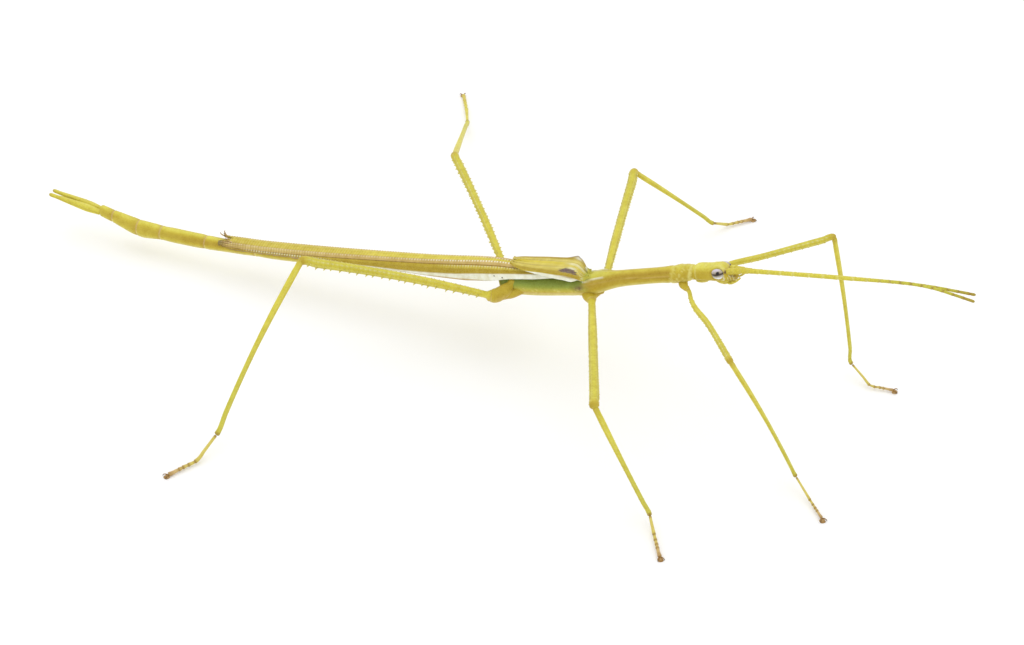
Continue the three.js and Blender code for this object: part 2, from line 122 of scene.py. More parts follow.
def blend(first, second, share):
    """Colour between two, where a share of 1 is the second."""
    share = np.asarray(share)[..., None]
    return np.asarray(first) * (1 - share) + np.asarray(second) * share


def stroke(x, y, places, width):
    """1 on the line through places, falling off to its sides and past its ends."""
    reach = np.inf
    for start, end in zip(places, places[1:]):
        way = np.subtract(end, start)
        along = np.clip(((x - start[0]) * way[0] + (y - start[1]) * way[1]) / (way @ way), 0, 1)
        reach = np.minimum(reach, np.hypot(x - start[0] - along * way[0], y - start[1] - along * way[1]))
    return np.exp(-((reach / width) ** 2))


def dot(x, y, place, width):
    """1 at a place, falling off round it."""
    return np.exp(-((x - place[0]) ** 2 + (y - place[1]) ** 2) / width ** 2)


def wave(at, pitch, phase=0.0):
    """Even wave from -1 to 1 with a crest at every pitch."""
    return np.cos(at * 2 * math.pi / pitch + phase)


def heading(start, end):
    """Unit vector from start to end."""
    way = end - start
    return way / np.linalg.norm(way)


def spread(*values):
    """Values on one grid, as the last axis of one array."""
    return np.stack(np.broadcast_arrays(*values), -1)


def circle(angle, radius):
    """Outward and upward parts of a radius."""
    return np.sin(angle) * radius, np.cos(angle) * radius


def bands(value, stops):
    """Colour at each value, between (place, colour) stops."""
    places = [place for place, _ in stops]
    return np.stack([np.interp(value, places, [colour[k] for _, colour in stops]) for k in range(3)], -1)


# ---------------------------------------------------------------- measuring the CAD nodes
def points_of(node):
    """Corners of a CAD node in millimetres, each one once."""
    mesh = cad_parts[node].data
    spots = np.empty(len(mesh.vertices) * 3, np.float32)
    mesh.vertices.foreach_get("co", spots)
    return np.unique(np.round(spots.reshape(-1, 3).astype(float) / MM, 3), axis=0)


def middle_of(node):
    """Middle of a CAD node's box in millimetres."""
    low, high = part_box(node)
    return np.array((low + high) / 2 / MM)


def rings(node, sides, start):
    """Middles and mean radii of a CAD tube's rings, from the end that is nearer to start."""
    spots = points_of(node)
    axis = np.linalg.svd(spots - spots.mean(0))[2][0]
    spots = spots[np.argsort(spots @ axis)]
    count = (len(spots) - 2) // sides
    groups = np.split(spots, 1 + sides * np.arange(1, count))
    middles = np.array([group.mean(0) for group in groups])
    radii = np.array([
        np.sort(np.linalg.norm(group - middle, axis=1))[-sides:].mean()
        for group, middle in zip(groups, middles)
    ])
    if np.linalg.norm(middles[0] - start) > np.linalg.norm(middles[-1] - start):
        return middles[::-1], radii[::-1]
    return middles, radii


def trunk_rows():
    """x, and rows of axis height, half width, depth above and depth below, from tail to neck."""
    spots = np.concatenate([points_of(node) for node in TRUNK])
    xs = np.unique(np.round(spots[:, 0], 2))
    rows = []
    for x in xs:
        ring = spots[np.abs(spots[:, 0] - x) < 0.02]
        across = ring[:, 1] - MIDLINE
        height = ring[np.argmax(across), 2]
        rows.append((height, across.max(), ring[:, 2].max() - height, height - ring[:, 2].min()))
    return xs, np.array(rows)


MIDLINE = middle_of("mesothorax")[1]
TRUNK_X, TRUNK_ROWS = trunk_rows()
WAIST = (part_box("metathorax")[1].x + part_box("mesothorax")[0].x) / 2 / MM
TRUNK_MIDDLE = np.array([WAIST, MIDLINE, middle_of("mesothorax")[2]])


# ---------------------------------------------------------------- gathering forms
@dataclass
class Line:
    """Route of a form: distance, point, sideways and upward direction at each station."""

    at: np.ndarray
    points: np.ndarray
    side: np.ndarray
    over: np.ndarray

    @property
    def length(self):
        return self.at[-1]


def line_through(points, step, caps=(0.0, 0.0), rounds=4, up=UP):
    """Smooth line through points, in millimetres."""
    points = np.asarray(points, float)
    chords = np.concatenate([[0], np.cumsum(np.linalg.norm(np.diff(points, axis=0), axis=1))])
    at = stations(chords[-1], step, caps, rounds)
    places = through(chords, points, at)
    way = np.gradient(places, at, axis=0)
    way /= np.linalg.norm(way, axis=1)[:, None]
    side = np.cross(way, up)
    side /= np.linalg.norm(side, axis=1)[:, None]
    return Line(at, places, side, np.cross(side, way))


class Shell:
    """One piece in the making: closed forms in millimetres, with their colours and map patches."""

    def __init__(self):
        self.form = bmesh.new()
        self.tint = self.form.verts.layers.float_color.new("tint")
        self.lay = self.form.verts.layers.float_vector.new("lay")
        self.patch = self.form.faces.layers.int.new("patch")
        self.form.loops.layers.uv.new("OFBake")
        self.patches = []

    def keep(self, verts, length, girth):
        """Notes the size of the patch that newly made faces take on the map."""
        for face in {face for vert in verts for face in vert.link_faces}:
            face[self.patch] = len(self.patches)
        self.patches.append((length, girth))

    def wrap(self, spots, tints, lays):
        """Bends a grid to spots[along, around], closes its seam and ends, and colours it."""
        rows, columns = spots.shape[:2]
        if not np.isfinite(spots).all():
            raise ValueError("a form has places that are not numbers")
        tints = np.broadcast_to(tints, spots.shape)
        made = bmesh.ops.create_grid(
            self.form, x_segments=rows - 1, y_segments=columns - 1, size=0.5, calc_uvs=True
        )["verts"]
        for vert in made:
            i = round((vert.co.x + 0.5) * (rows - 1))
            j = round((vert.co.y + 0.5) * (columns - 1))
            vert.co = spots[i, j]
            vert[self.tint] = (*tints[i, j], 1)
            vert[self.lay] = lays[i, j]
        length = np.linalg.norm(np.diff(spots, axis=0), axis=2).sum(0).max()
        girth = np.linalg.norm(np.diff(spots, axis=1), axis=2).sum(1).max()
        self.keep(made, length, girth)
        bmesh.ops.remove_doubles(self.form, verts=made, dist=1e-4)

    def tube(self, line, around, section, paint):
        """Tube along a line; section and paint are functions of distance and angle."""
        angle = np.linspace(-math.pi, math.pi, around + 1)[None, :]
        at = line.at[:, None]
        out, up = section(at, angle)
        spots = (line.points[:, None] + out[..., None] * line.side[:, None]
                 + up[..., None] * line.over[:, None])
        tints = paint(at, np.degrees(angle))
        lays = spread(at, np.degrees(angle), 0 * out)
        self.wrap(spots, tints, lays)

    def cone(self, base, tip, radius, sides, tint):
        """Small spine from base to tip."""
        base, tip = Vector(base), Vector(tip)
        way = tip - base
        place = Matrix.Translation((base + tip) / 2) @ way.to_track_quat("Z", "Y").to_matrix().to_4x4()
        made = bmesh.ops.create_cone(
            self.form, cap_ends=True, cap_tris=True, segments=sides, radius1=radius,
            radius2=radius * 0.08, depth=way.length, matrix=place, calc_uvs=True,
        )["verts"]
        for vert in made:
            vert[self.tint] = (*tint, 1)
        self.keep(made, way.length, radius * 6)

    def egg(self, place, radii, tint, fine=2):
        """Ellipsoid; place is a matrix of its middle and directions."""
        made = bmesh.ops.create_icosphere(
            self.form, subdivisions=fine, radius=1, matrix=place @ Matrix.Diagonal((*radii, 1)), calc_uvs=True
        )["verts"]
        for vert in made:
            vert[self.tint] = (*tint, 1)
        self.keep(made, 3 * max(radii), 3 * max(radii))

    def finish(self, name, slot, nodes, finish):
        """Turns the forms into the piece that stands for these CAD nodes."""
        bmesh.ops.recalc_face_normals(self.form, faces=self.form.faces)
        bmesh.ops.scale(self.form, vec=(MM, MM, MM), verts=self.form.verts)
        mesh = bpy.data.meshes.new(name)
        self.form.to_mesh(mesh)
        self.form.free()
        lay_out(mesh, self.patches)
        mesh.shade_smooth()
        mesh.materials.append(finish)
        piece = bpy.data.objects.new(name, mesh)
        bpy.context.scene.collection.objects.link(piece)
        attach(piece, "root")
        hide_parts(*nodes)
        return piece


MAP_GAP = 0.25  # between patches, in millimetres


def shelf_places(sizes, side):
    """Corners of patches on shelves across a square, and the height that they fill."""
    places = {}
    x = y = shelf = 0.0
    for key in sorted(sizes, key=lambda key: -sizes[key][1]):
        wide, high = sizes[key]
        if x + wide + MAP_GAP > side:
            x, y, shelf = 0.0, y + shelf, 0.0
        places[key] = (x, y)
        x += wide + MAP_GAP
        shelf = max(shelf, high + MAP_GAP)
    return places, y + shelf


def lay_out(mesh, patches):
    """Lays each form's unrolled patch on the OFBake map, at one scale; long ones in lengths."""
    corners = np.empty(len(mesh.loops) * 2, np.float32)
    layer = mesh.uv_layers["OFBake"].uv
    layer.foreach_get("vector", corners)
    corners = corners.reshape(-1, 2).astype(float)
    totals = np.array([len(face.vertices) for face in mesh.polygons])
    face_of = np.repeat(np.arange(len(totals)), totals)
    middle = np.bincount(face_of, corners[:, 0]) / totals
    patch = np.empty(len(totals), np.int32)
    mesh.attributes["patch"].data.foreach_get("value", patch)
    length, girth = np.array(patches).T
    side = math.sqrt((length * girth).sum()) * 1.02
    while True:
        side *= 1.03
        cuts = np.ceil(length / (side - 2 * MAP_GAP)).astype(int)
        sizes = {
            (i, k): (length[i] / cuts[i], girth[i]) for i in range(len(patches)) for k in range(cuts[i])
        }
        places, filled = shelf_places(sizes, side)
        if filled <= side:
            break
    cut = np.minimum((middle * cuts[patch]).astype(int), cuts[patch] - 1)
    corner = np.array([places[(i, k)] for i, k in zip(patch, cut)])
    wide = (length / cuts)[patch]
    corners[:, 0] = (corners[:, 0] * cuts[patch][face_of] - cut[face_of]) * wide[face_of] + corner[face_of, 0]
    corners[:, 1] = corners[:, 1] * girth[patch][face_of] + corner[face_of, 1]
    layer.foreach_set("vector", ((corners + MAP_GAP / 2) / side).astype(np.float32).ravel())


# ---------------------------------------------------------------- what a user may change
def size_of(name, description, default):
    """Length that a user may change."""
    return bpy.props.FloatProperty(name=name, description=description, default=default, min=0, unit="LENGTH",
                                   precision=6)


def colour_of(name, description, default):
    """Colour that a user may change."""
    return bpy.props.FloatVectorProperty(name=name, description=description, default=default, size=3, min=0,
                                         max=1, subtype="COLOR")


class InsectSizes(bpy.types.PropertyGroup):
    """Small reliefs that the CAD nodes leave to the skin."""

    joint_rim: size_of("Joint rim", "How far a segment's rear rim stands proud", 0.05 * MM)
    wrinkle: size_of("Wrinkles", "Height of the wrinkles on the prothorax and at the hips", 0.05 * MM)
    tooth: size_of("Leg teeth", "Height of a femur's teeth, before each row's factor", 0.27 * MM)
    eye_rim: size_of("Eye rim", "Height of the rim of skin round an eye", 0.07 * MM)
    wing_rib: size_of("Wing ribs", "Height of the cross ribs on a wing", 0.035 * MM)
    wing_wall: size_of("Wing thickness", "Thickness of a folded wing at its middle", 0.3 * MM)


class InsectColours(bpy.types.PropertyGroup):
    """Colours that the markings are mixed from."""

    gold: colour_of("Gold", "Sides of the trunk", (0.56, 0.44, 0.045))
    yellow: colour_of("Yellow", "Back, head and femora", (0.69, 0.63, 0.1))
    pale: colour_of("Pale yellow", "Lower edges and neck rings", (0.73, 0.67, 0.22))
    ochre: colour_of("Ochre", "Sides of the mesothorax", (0.43, 0.29, 0.035))
    tan: colour_of("Tan", "Segment joints and pleural lines", (0.6, 0.42, 0.2))
    brown: colour_of("Brown", "Ankles and claws", (0.32, 0.18, 0.045))
    dark: colour_of("Dark brown", "Dark lines and specks", (0.05, 0.03, 0.02))
    leg: colour_of("Leg yellow", "Femora and upper tibiae", (0.66, 0.59, 0.075))
    green: colour_of("Green", "Sides of the metathorax", (0.31, 0.37, 0.06))
    leaf: colour_of("Dark green", "Flank just under the wings", (0.25, 0.32, 0.06))
    olive: colour_of("Olive gold", "Lower part of the wings", (0.42, 0.3, 0.025))
    straw: colour_of("Straw", "Ribbed part of the wings", (0.67, 0.56, 0.06))
    rose: colour_of("Pink tan", "Middle of the hind wings", (0.63, 0.46, 0.16))
    cream: colour_of("Cream", "White edge of the wings", (0.86, 0.88, 0.76))
    plum: colour_of("Plum", "Spot on the shoulder of a forewing", (0.16, 0.09, 0.06))
    silver: colour_of("Silver", "Eyes", (0.44, 0.39, 0.33))


class InsectStage(bpy.types.PropertyGroup):
    """Camera, light and floor."""

    azimuth: bpy.props.FloatProperty(name="Azimuth", description="Turn of the camera round the insect",
                                     default=math.radians(22.5), unit="ROTATION")
    elevation: bpy.props.FloatProperty(name="Elevation", description="Height of the camera as an angle",
                                       default=math.radians(38.0), unit="ROTATION")
    distance: bpy.props.FloatProperty(name="Distance", description="From the camera to what it looks at",
                                      default=449.5 * MM, unit="LENGTH")
    lens: bpy.props.FloatProperty(name="Lens", description="Focal length", default=101.95, unit="CAMERA")
    aim: bpy.props.FloatVectorProperty(name="Aim", description="Point that the camera looks at",
                                       default=(8.19 * MM, -14.783 * MM, 11.43 * MM), subtype="TRANSLATION")
    sky: bpy.props.FloatProperty(name="Sky", description="Brightness of the white room", default=1.0, min=0)
    lamp: bpy.props.FloatProperty(name="Lamp", description="Power of the soft lamp overhead", default=0.8,
                                  min=0, unit="POWER")


# ---------------------------------------------------------------- finishes
def node(tree, kind, links=None, **settings):
    """New node with its settings; links maps inputs to sockets or to plain values."""
    made = tree.nodes.new("ShaderNode" + kind)
    for key, value in settings.items():
        setattr(made, key, value)
    for key, value in (links or {}).items():
        if isinstance(value, bpy.types.NodeSocket):
            tree.links.new(value, made.inputs[key])
        else:
            made.inputs[key].default_value = value
    return made


def sum_of(tree, kind, *values):
    """Result of a Math node on sockets or numbers."""
    return node(tree, "Math", dict(enumerate(values)), operation=kind).outputs[0]


def mixed(tree, share, first, second, kind="MIX"):
    """Colour mixed from two, by a socket or number."""
    links = {0: share, 6: first, 7: second}
    return node(tree, "Mix", links, data_type="RGBA", blend_type=kind).outputs[2]


def ramp(tree, value, stops, smoothing="LINEAR"):
    """Colour ramp over a socket."""
    made = node(tree, "ValToRGB", {0: value})
    made.color_ramp.interpolation = smoothing
    marks = made.color_ramp.elements
    while len(marks) < len(stops):
        marks.new(0.5)
    for mark, (place, colour) in zip(marks, stops):
        mark.position = place
        mark.color = (*colour, 1) if np.ndim(colour) else (colour, colour, colour, 1)
    return made.outputs[0]


SKIN_GLOSS = 0.15  # specular level of dry chitin


def new_finish(name, shine, coat=0.0):
    """Material with its shader, the tint attribute and Object coordinates."""
    finish = bpy.data.materials.new(name)
    finish.use_nodes = True
    tree = finish.node_tree
    tree.nodes.clear()
    shader = node(tree, "BsdfPrincipled", {
        "Roughness": shine, "Specular IOR Level": SKIN_GLOSS, "Coat Weight": coat, "Coat Roughness": 0.08,
    })
    output = node(tree, "OutputMaterial", {"Surface": shader.outputs[0]})
    output.is_active_output = True
    tint = node(tree, "Attribute", attribute_name="tint").outputs["Color"]
    place = node(tree, "TexCoord").outputs["Object"]
    return finish, tree, shader, tint, place


def grains(tree, place, size, detail=2.0):
    """Noise from 0 to 1 with lumps of about `size` millimetres."""
    links = {"Vector": place, "Scale": 1 / (size * MM), "Detail": detail}
    return node(tree, "TexNoise", links).outputs["Fac"]


def cells(tree, place, size, feature="F1"):
    """Distance in small cells about `size` millimetres across."""
    links = {"Vector": place, "Scale": 1 / (size * MM)}
    return node(tree, "TexVoronoi", links, feature=feature).outputs["Distance"]


def raise_surface(tree, shader, height, depth, strength=1.0):
    """Bump on a shader, with its depth in millimetres."""
    links = {"Height": height, "Distance": depth * MM, "Strength": strength}
    tree.links.new(node(tree, "Bump", links).outputs[0], shader.inputs["Normal"])


def skin_finish():
    """Waxy skin: mottled, with faint pale granules and a fine leathery grain."""
    finish, tree, shader, tint, place = new_finish("insect_skin", 0.4)
    blotches = ramp(tree, grains(tree, place, 1.2, 3), [(0.3, (0.88, 0.84, 0.66)), (0.7, (1.08, 1.1, 1.15))])
    tone = mixed(tree, 0.7, tint, blotches, "MULTIPLY")
    freckles = ramp(tree, grains(tree, place, 0.28), [(0.36, (0.84, 0.76, 0.55)), (0.46, (1.0, 1.0, 1.0))])
    tone = mixed(tree, 0.5, tone, freckles, "MULTIPLY")
    granules = ramp(tree, cells(tree, place, 0.22), [(0.1, 1.0), (0.3, 0.0)])
    tone = mixed(tree, sum_of(tree, "MULTIPLY", granules, 0.12), tone, (0.86, 0.8, 0.3, 1))
    tree.links.new(tone, shader.inputs["Base Color"])
    height = sum_of(tree, "ADD", grains(tree, place, 0.16), sum_of(tree, "MULTIPLY", granules, 0.5))
    raise_surface(tree, shader, height, 0.03, 0.7)
    return finish


def wing_finish(name):
    """Dry membrane: tint with a fine net of veins and a satin sheen."""
    finish, tree, shader, tint, place = new_finish(name, 0.38)
    net = ramp(tree, cells(tree, place, 0.34, "DISTANCE_TO_EDGE"), [(0.02, 1.0), (0.16, 0.0)])
    tone = mixed(tree, sum_of(tree, "MULTIPLY", net, 0.12), tint, (0.9, 0.8, 0.3, 1))
    clouds = ramp(tree, grains(tree, place, 0.9), [(0.32, (0.86, 0.82, 0.66)), (0.66, (1.06, 1.06, 1.1))])
    tone = mixed(tree, 0.7, tone, clouds, "MULTIPLY")
    tree.links.new(tone, shader.inputs["Base Color"])
    raise_surface(tree, shader, sum_of(tree, "ADD", net, grains(tree, place, 0.12)), 0.03, 0.6)
    return finish


def eye_finish():
    """Wet, silvery eye with very fine facets."""
    finish, tree, shader, tint, place = new_finish("insect_eye", 0.2, 0.35)
    facets = cells(tree, place, 0.07)
    shade = ramp(tree, facets, [(0.2, (1.04, 1.04, 1.04)), (0.75, (0.82, 0.8, 0.8))])
    tree.links.new(mixed(tree, 0.7, tint, shade, "MULTIPLY"), shader.inputs["Base Color"])
    raise_surface(tree, shader, sum_of(tree, "SUBTRACT", 1.0, facets), 0.008, 0.4)
    return finish


def antenna_finish():
    """Antenna: tint with fine lengthwise streaks and short bristle pits."""
    finish, tree, shader, tint, place = new_finish("insect_antenna", 0.45)
    streaks = ramp(tree, grains(tree, place, 0.25), [(0.35, (0.8, 0.78, 0.62)), (0.65, (1.1, 1.1, 1.1))])
    tree.links.new(mixed(tree, 0.6, tint, streaks, "MULTIPLY"), shader.inputs["Base Color"])
    raise_surface(tree, shader, grains(tree, place, 0.1), 0.02, 0.5)
    return finish


def claw_finish():
    """Horny claws and pads: fine stains over a tint that darkens towards the tips."""
    finish, tree, shader, tint, place = new_finish("insect_claw", 0.3, 0.2)
    stains = ramp(tree, grains(tree, place, 0.22), [(0.35, (0.68, 0.6, 0.5)), (0.65, (1.15, 1.12, 1.05))])
    tree.links.new(mixed(tree, 0.75, tint, stains, "MULTIPLY"), shader.inputs["Base Color"])
    raise_surface(tree, shader, grains(tree, place, 0.08), 0.02, 0.5)
    return finish


# ---------------------------------------------------------------- trunk
ABDOMEN_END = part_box("abdomen_base")[1].x / MM
CHEST = (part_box("prothorax")[0].x / MM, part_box("prothorax")[1].x / MM)


def abdomen_joints():
    """x of the joints between the abdomen's segments, where the CAD rings are pinched."""
    half = TRUNK_ROWS[:, 1]
    found = []
    for i in range(2, int(np.searchsorted(TRUNK_X, ABDOMEN_END)) - 2):
        narrow = half[i] < 0.98 * min(half[i - 2:i].max(), half[i + 1:i + 3].max())
        if narrow and (not found or TRUNK_X[i] - found[-1] > 1):
            found.append(TRUNK_X[i])
    return np.array(found)


JOINTS = abdomen_joints()
TRUNK_CAPS = (0.4, 0.3)  # lengths of its rounded ends, at the tail and in the head
NECK_REACH = 1.2  # of the neck into the head
NECK_SLOPE = 0.42  # rise of the trunk's line in there


def trunk_line():
    """Level line from the tail to inside the head, with close stations at the segment joints."""
    start = TRUNK_X[0] - 0.15
    length = TRUNK_X[-1] + NECK_REACH - start
    even = stations(length, 0.3, TRUNK_CAPS)
    joints = JOINTS - start
    clear = even[np.abs(even[:, None] - joints).min(1) > 0.55]
    at = np.sort(np.concatenate([clear, np.add.outer(joints, np.linspace(-0.5, 0.5, 13)).ravel()]))
    heights = through(TRUNK_X, TRUNK_ROWS, start + at)[:, 0]
    heights += np.clip(start + at - TRUNK_X[-1], 0, None) * NECK_SLOPE
    points = np.stack([start + at, np.full_like(at, MIDLINE), heights], 1)
    ones = np.ones((len(at), 1))
    return Line(at, points, ones * (0, -1, 0), ones * (0, 0, 1))


DEGREES_PER_MM = 25  # round the thorax
NECK_RING_PITCH = 0.42
METATHORAX_VEINS = (  # behind the waist, and down from the back line, in millimetres
    ((8.1, 3.5), (8.9, 3.95), (8.3, 4.35)), ((5.6, 3.4), (4.7, 3.9), (3.4, 4.3)), ((10.6, 3.5), (9.9, 3.9)),
)
SKIN_FOLD = ((-0.8, 1.75), (0.9, 1.5), (2.3, 1.35))  # ahead of the waist and down from the back line


def trunk_relief(x, angle, sizes):
    """Height in millimetres of the trunk's rims, folds and wrinkles above its plain form."""
    around = np.abs(np.degrees(angle))
    rim = sizes.joint_rim / MM
    relief = 0 * x * around
    for joint in JOINTS:
        step = bell(x, joint + 0.15, 0.12) - 1.3 * bell(x, joint - 0.05, 0.09)
        step = step + 0.5 * bell(x, joint - 0.3, 0.12)
        relief = relief + rim * step
    on_abdomen = 1 - smooth(ABDOMEN_END - 1.0, ABDOMEN_END, x)
    grooves = 0.04 * bell(around, 104, 7) - 0.06 * bell(around, 114, 4) - 0.03 * bell(around, 146, 5)
    relief += on_abdomen * grooves
    on_meta = smooth(ABDOMEN_END, ABDOMEN_END + 1, x) * (1 - smooth(WAIST - 0.5, WAIST + 0.2, x))
    relief += on_meta * (0.07 * bell(around, 128, 9) - 0.05 * bell(around, 116, 5))
    on_meso = smooth(WAIST + 1, WAIST + 3, x) * (1 - smooth(CHEST[0] - 0.6, CHEST[0], x))
    relief += on_meso * (0.06 * bell(around, 0, 6) - 0.04 * bell(around, 50, 5) - 0.07 * bell(around, 86, 5))
    relief += on_meso * (0.05 * bell(around, 96, 7) + 0.04 * bell(around, 30, 9))
    shoulder = bell(x, WAIST + 1.0, 1.9)
    wrinkles = 0.1 * np.sin(around / 5.5 + x) * bell(around, 26, 22)
    relief += shoulder * (wrinkles + 0.04 * np.sin(x * 5) * bell(around, 60, 20))
    relief += 0.12 * stroke(x - WAIST, around / DEGREES_PER_MM, SKIN_FOLD, 0.18)
    pinches = 0.07 * bell(x, CHEST[0], 0.16) + 0.05 * bell(x, CHEST[0] + 0.45, 0.1)
    relief -= pinches + 0.06 * bell(x, CHEST[1] - 0.25, 0.12)
    folds = smooth(CHEST[1] - 0.1, CHEST[1] + 0.1, x)
    relief += folds * 0.07 * wave(x - CHEST[1], NECK_RING_PITCH)
    return relief


def trunk_paint(colours):
    """Markings of the trunk, with painted highlight and shade in its bands, as a function of x and degrees
    from the top.
    """
    gold, yellow, pale, ochre, tan = colours.gold, colours.yellow, colours.pale, colours.ochre, colours.tan
    side = blend(gold, ochre, 0.7)
    moss = blend(yellow, colours.green, 0.25)

    def paint(x, angle):
        around = np.abs(angle)
        # Lighter yellow along the top is partly a painted highlight, and the darker gold and ochre of the
        # sides partly painted shade, over the abdomen's own yellow and gold.
        abdomen = bands(around, [(0, yellow), (12, yellow), (32, gold), (52, side), (74, side), (95, gold),
                                 (120, blend(gold, pale, 0.6)), (150, pale)])
        tone = abdomen + 0 * x[..., None]
        tail = 1 - smooth(TRUNK_X[0] + 8, TRUNK_X[0] + 20, x)
        tone = blend(tone, blend(yellow, gold, 0.35), 0.45 * tail + 0 * around)
        for joint in JOINTS:
            tone = blend(tone, ochre, 0.4 * bell(x, joint - 0.25, 0.4) + 0 * around)
            tone = blend(tone, tan, 0.85 * bell(x, joint, 0.12) + 0 * around)
            tone = blend(tone, pale, 0.9 * bell(x, joint + 0.16, 0.13) * smooth(70, 105, around))
        # Darker green at the top, just under the wings, is partly painted shade of the wings over the flank.
        meta = bands(around, [(0, colours.leaf), (56, colours.leaf), (74, colours.green), (90, moss * 0.8),
                              (101, blend(moss, gold, 0.7)), (110, blend(gold, tan, 0.4)),
                              (119, blend(tan, pale, 0.6)), (128, pale), (180, pale)])
        tone = blend(tone, meta, smooth(ABDOMEN_END - 0.2, ABDOMEN_END + 0.6, x))
        for places in METATHORAX_VEINS:
            tone = blend(tone, pale, 0.55 * stroke(WAIST - x, around / DEGREES_PER_MM, places, 0.09))
        top = blend(yellow, gold, 0.7)
        meso = bands(around, [
            (0, top), (8, top), (28, blend(gold, ochre, 0.4)), (46, ochre), (50, ochre * 0.9),
            (56, blend(ochre, gold, 0.3)), (80, blend(ochre, gold, 0.25)), (97, blend(ochre, gold, 0.6)),
            (112, blend(gold, pale, 0.2)), (135, blend(gold, pale, 0.6)), (180, pale),
        ])
        meso = meso + 0 * x[..., None]
        seam = 60 + 14 * smooth(WAIST + 5, WAIST + 11, x)
        meso = blend(meso, colours.rose, 0.6 * bell(around, seam, 3.5) * (1 - bell(x, WAIST + 5, 1.5) * 0.5))
        meso = blend(meso, ochre * 0.75, 0.5 * bell(around, seam + 5, 2.5) + 0 * x)
        border = WAIST + 0.5 * np.sin(around / 13)
        tone = blend(tone, meso, smooth(border - 1.1, border + 0.5, x))
        shoulder = bell(x, WAIST + 1.0, 2.4)
        tone = blend(tone, moss, 0.8 * shoulder * bell(around, 12, 26))
        tone = blend(tone, colours.cream, 0.75 * stroke(x - WAIST, around / DEGREES_PER_MM, SKIN_FOLD, 0.16))
        tone = blend(tone, colours.plum, 0.95 * bell(x, WAIST - 1.2, 0.85) * bell(around, 81, 17))
        creases = bell(x, WAIST - 1.5, 0.8) * bell(around, 96, 13)
        creases = creases * smooth(0.1, 0.8, np.sin(x * 9.5 + around / 9))
        tone = blend(tone, pale, 0.75 * creases)
        tone = blend(tone, moss * 0.75, 0.6 * bell(x, WAIST - 0.1, 0.55) * bell(around, 88, 18))
        chest = bands(around, [
            (0, yellow), (20, blend(yellow, gold, 0.4)), (45, gold), (70, blend(gold, ochre, 0.25)),
            (95, blend(gold, ochre, 0.3)), (112, blend(gold, pale, 0.4)), (135, pale), (180, pale),
        ])
        chest = chest + 0 * x[..., None]
        spots = spread(x, around / 30, 0 * around)
        speckle = rough(spots, 0.3, 9.0)
        chest = blend(chest, colours.pale, 0.6 * smooth(0.15, 0.5, speckle))
        chest = blend(chest, colours.ochre, 0.4 * smooth(0.1, 0.5, -speckle))
        stains = 0.4 * smooth(0.2, 0.5, rough(spots, 0.25, 5.0))
        chest = blend(chest, colours.brown, stains * bell(around, 112, 12))
        tone = blend(tone, chest, smooth(CHEST[0] - 0.25, CHEST[0] + 0.1, x))
        tone = blend(tone, pale, 0.5 * bell(x, CHEST[0] + 0.2, 0.13) + 0 * around)
        rings = smooth(CHEST[1] - 0.4, CHEST[1], x) * (0.5 + 0.5 * wave(x - CHEST[1], NECK_RING_PITCH))
        return blend(tone, pale, 0.8 * rings + 0 * around)

    return paint


def add_trunk(shell, sizes, colours):
    """Abdomen and thorax as one tube, from the tail to inside the head."""
    line = trunk_line()
    start = line.points[0, 0] - line.at[0]
    x = start + line.at
    rows = through(TRUNK_X, TRUNK_ROWS, x)
    rows[:, 1:] *= (1 - 0.3 * smooth(TRUNK_X[-1], TRUNK_X[-1] + NECK_REACH, x))[:, None]
    half, above, below = rows[:, 1:, None].transpose(1, 0, 2)
    close = rounded(line.at, line.length, TRUNK_CAPS)[:, None]
    bumpy = smooth(CHEST[0] - 0.3, CHEST[0] + 0.4, x) * (1 - smooth(CHEST[1], CHEST[1] + 0.4, x))
    bumpy = (bumpy + 0.6 * bell(x, WAIST - 0.3, 1.3) + 0.5 * bell(x, ABDOMEN_END + 0.8, 1.2))[:, None]

    def section(at, angle):
        relief = trunk_relief(start + at, angle, sizes)
        spots = spread(start + at, np.sin(angle), np.cos(angle))
        lumps = rough(spots, 0.42) + 0.6 * rough(spots, 0.2, 7.0)
        relief = relief + bumpy * lumps * sizes.wrinkle / MM * 2.2
        deep = np.where(np.cos(angle) > 0, above, below)
        return np.sin(angle) * (half + relief) * close, np.cos(angle) * (deep + relief) * close

    paint = trunk_paint(colours)
    shell.tube(line, 40, section, lambda at, angle: paint(start + at, angle))


# ---------------------------------------------------------------- head
HEAD_LIFT = math.radians(22)
BETWEEN_EYES = np.array([5.0, 0.0, 0.55])  # in the head's own frame, whose origin is the neck
EYE_HALF = np.array([1.04, 0.68, 0.83])
EYE_PROUD = 0.05  # how much further out than its CAD node an eye stands
SKULL = np.array([  # x, height of the axis, half width, depth above and below
    [-0.2, -0.02, 0.9, 0.92, 0.85], [0.25, 0.03, 1.2, 1.28, 1.0], [0.8, 0.1, 1.4, 1.5, 1.06],
    [2.6, 0.1, 1.5, 1.62, 1.06], [4.4, 0.1, 1.42, 1.6, 1.2], [5.6, 0.15, 1.28, 1.3, 1.15],
    [6.4, 0.0, 1.05, 0.66, 1.0], [7.1, -0.35, 0.72, 0.3, 0.55],
])
FACE = np.array([
    [5.4, -0.1, 0.7, 0.5, 0.6], [6.0, -0.15, 1.02, 0.6, 0.75], [6.8, -0.27, 1.0, 0.6, 0.75],
    [7.25, -0.4, 0.8, 0.5, 0.6], [7.6, -0.5, 0.42, 0.3, 0.4],
])
MOUTH = np.array([
    [3.4, -0.85, 0.35, 0.3, 0.35], [4.2, -1.0, 0.7, 0.5, 0.55], [5.1, -1.1, 0.86, 0.65, 0.62],
    [6.1, -1.0, 0.88, 0.6, 0.56], [6.75, -0.85, 0.7, 0.5, 0.5], [7.25, -0.75, 0.4, 0.34, 0.36],
])
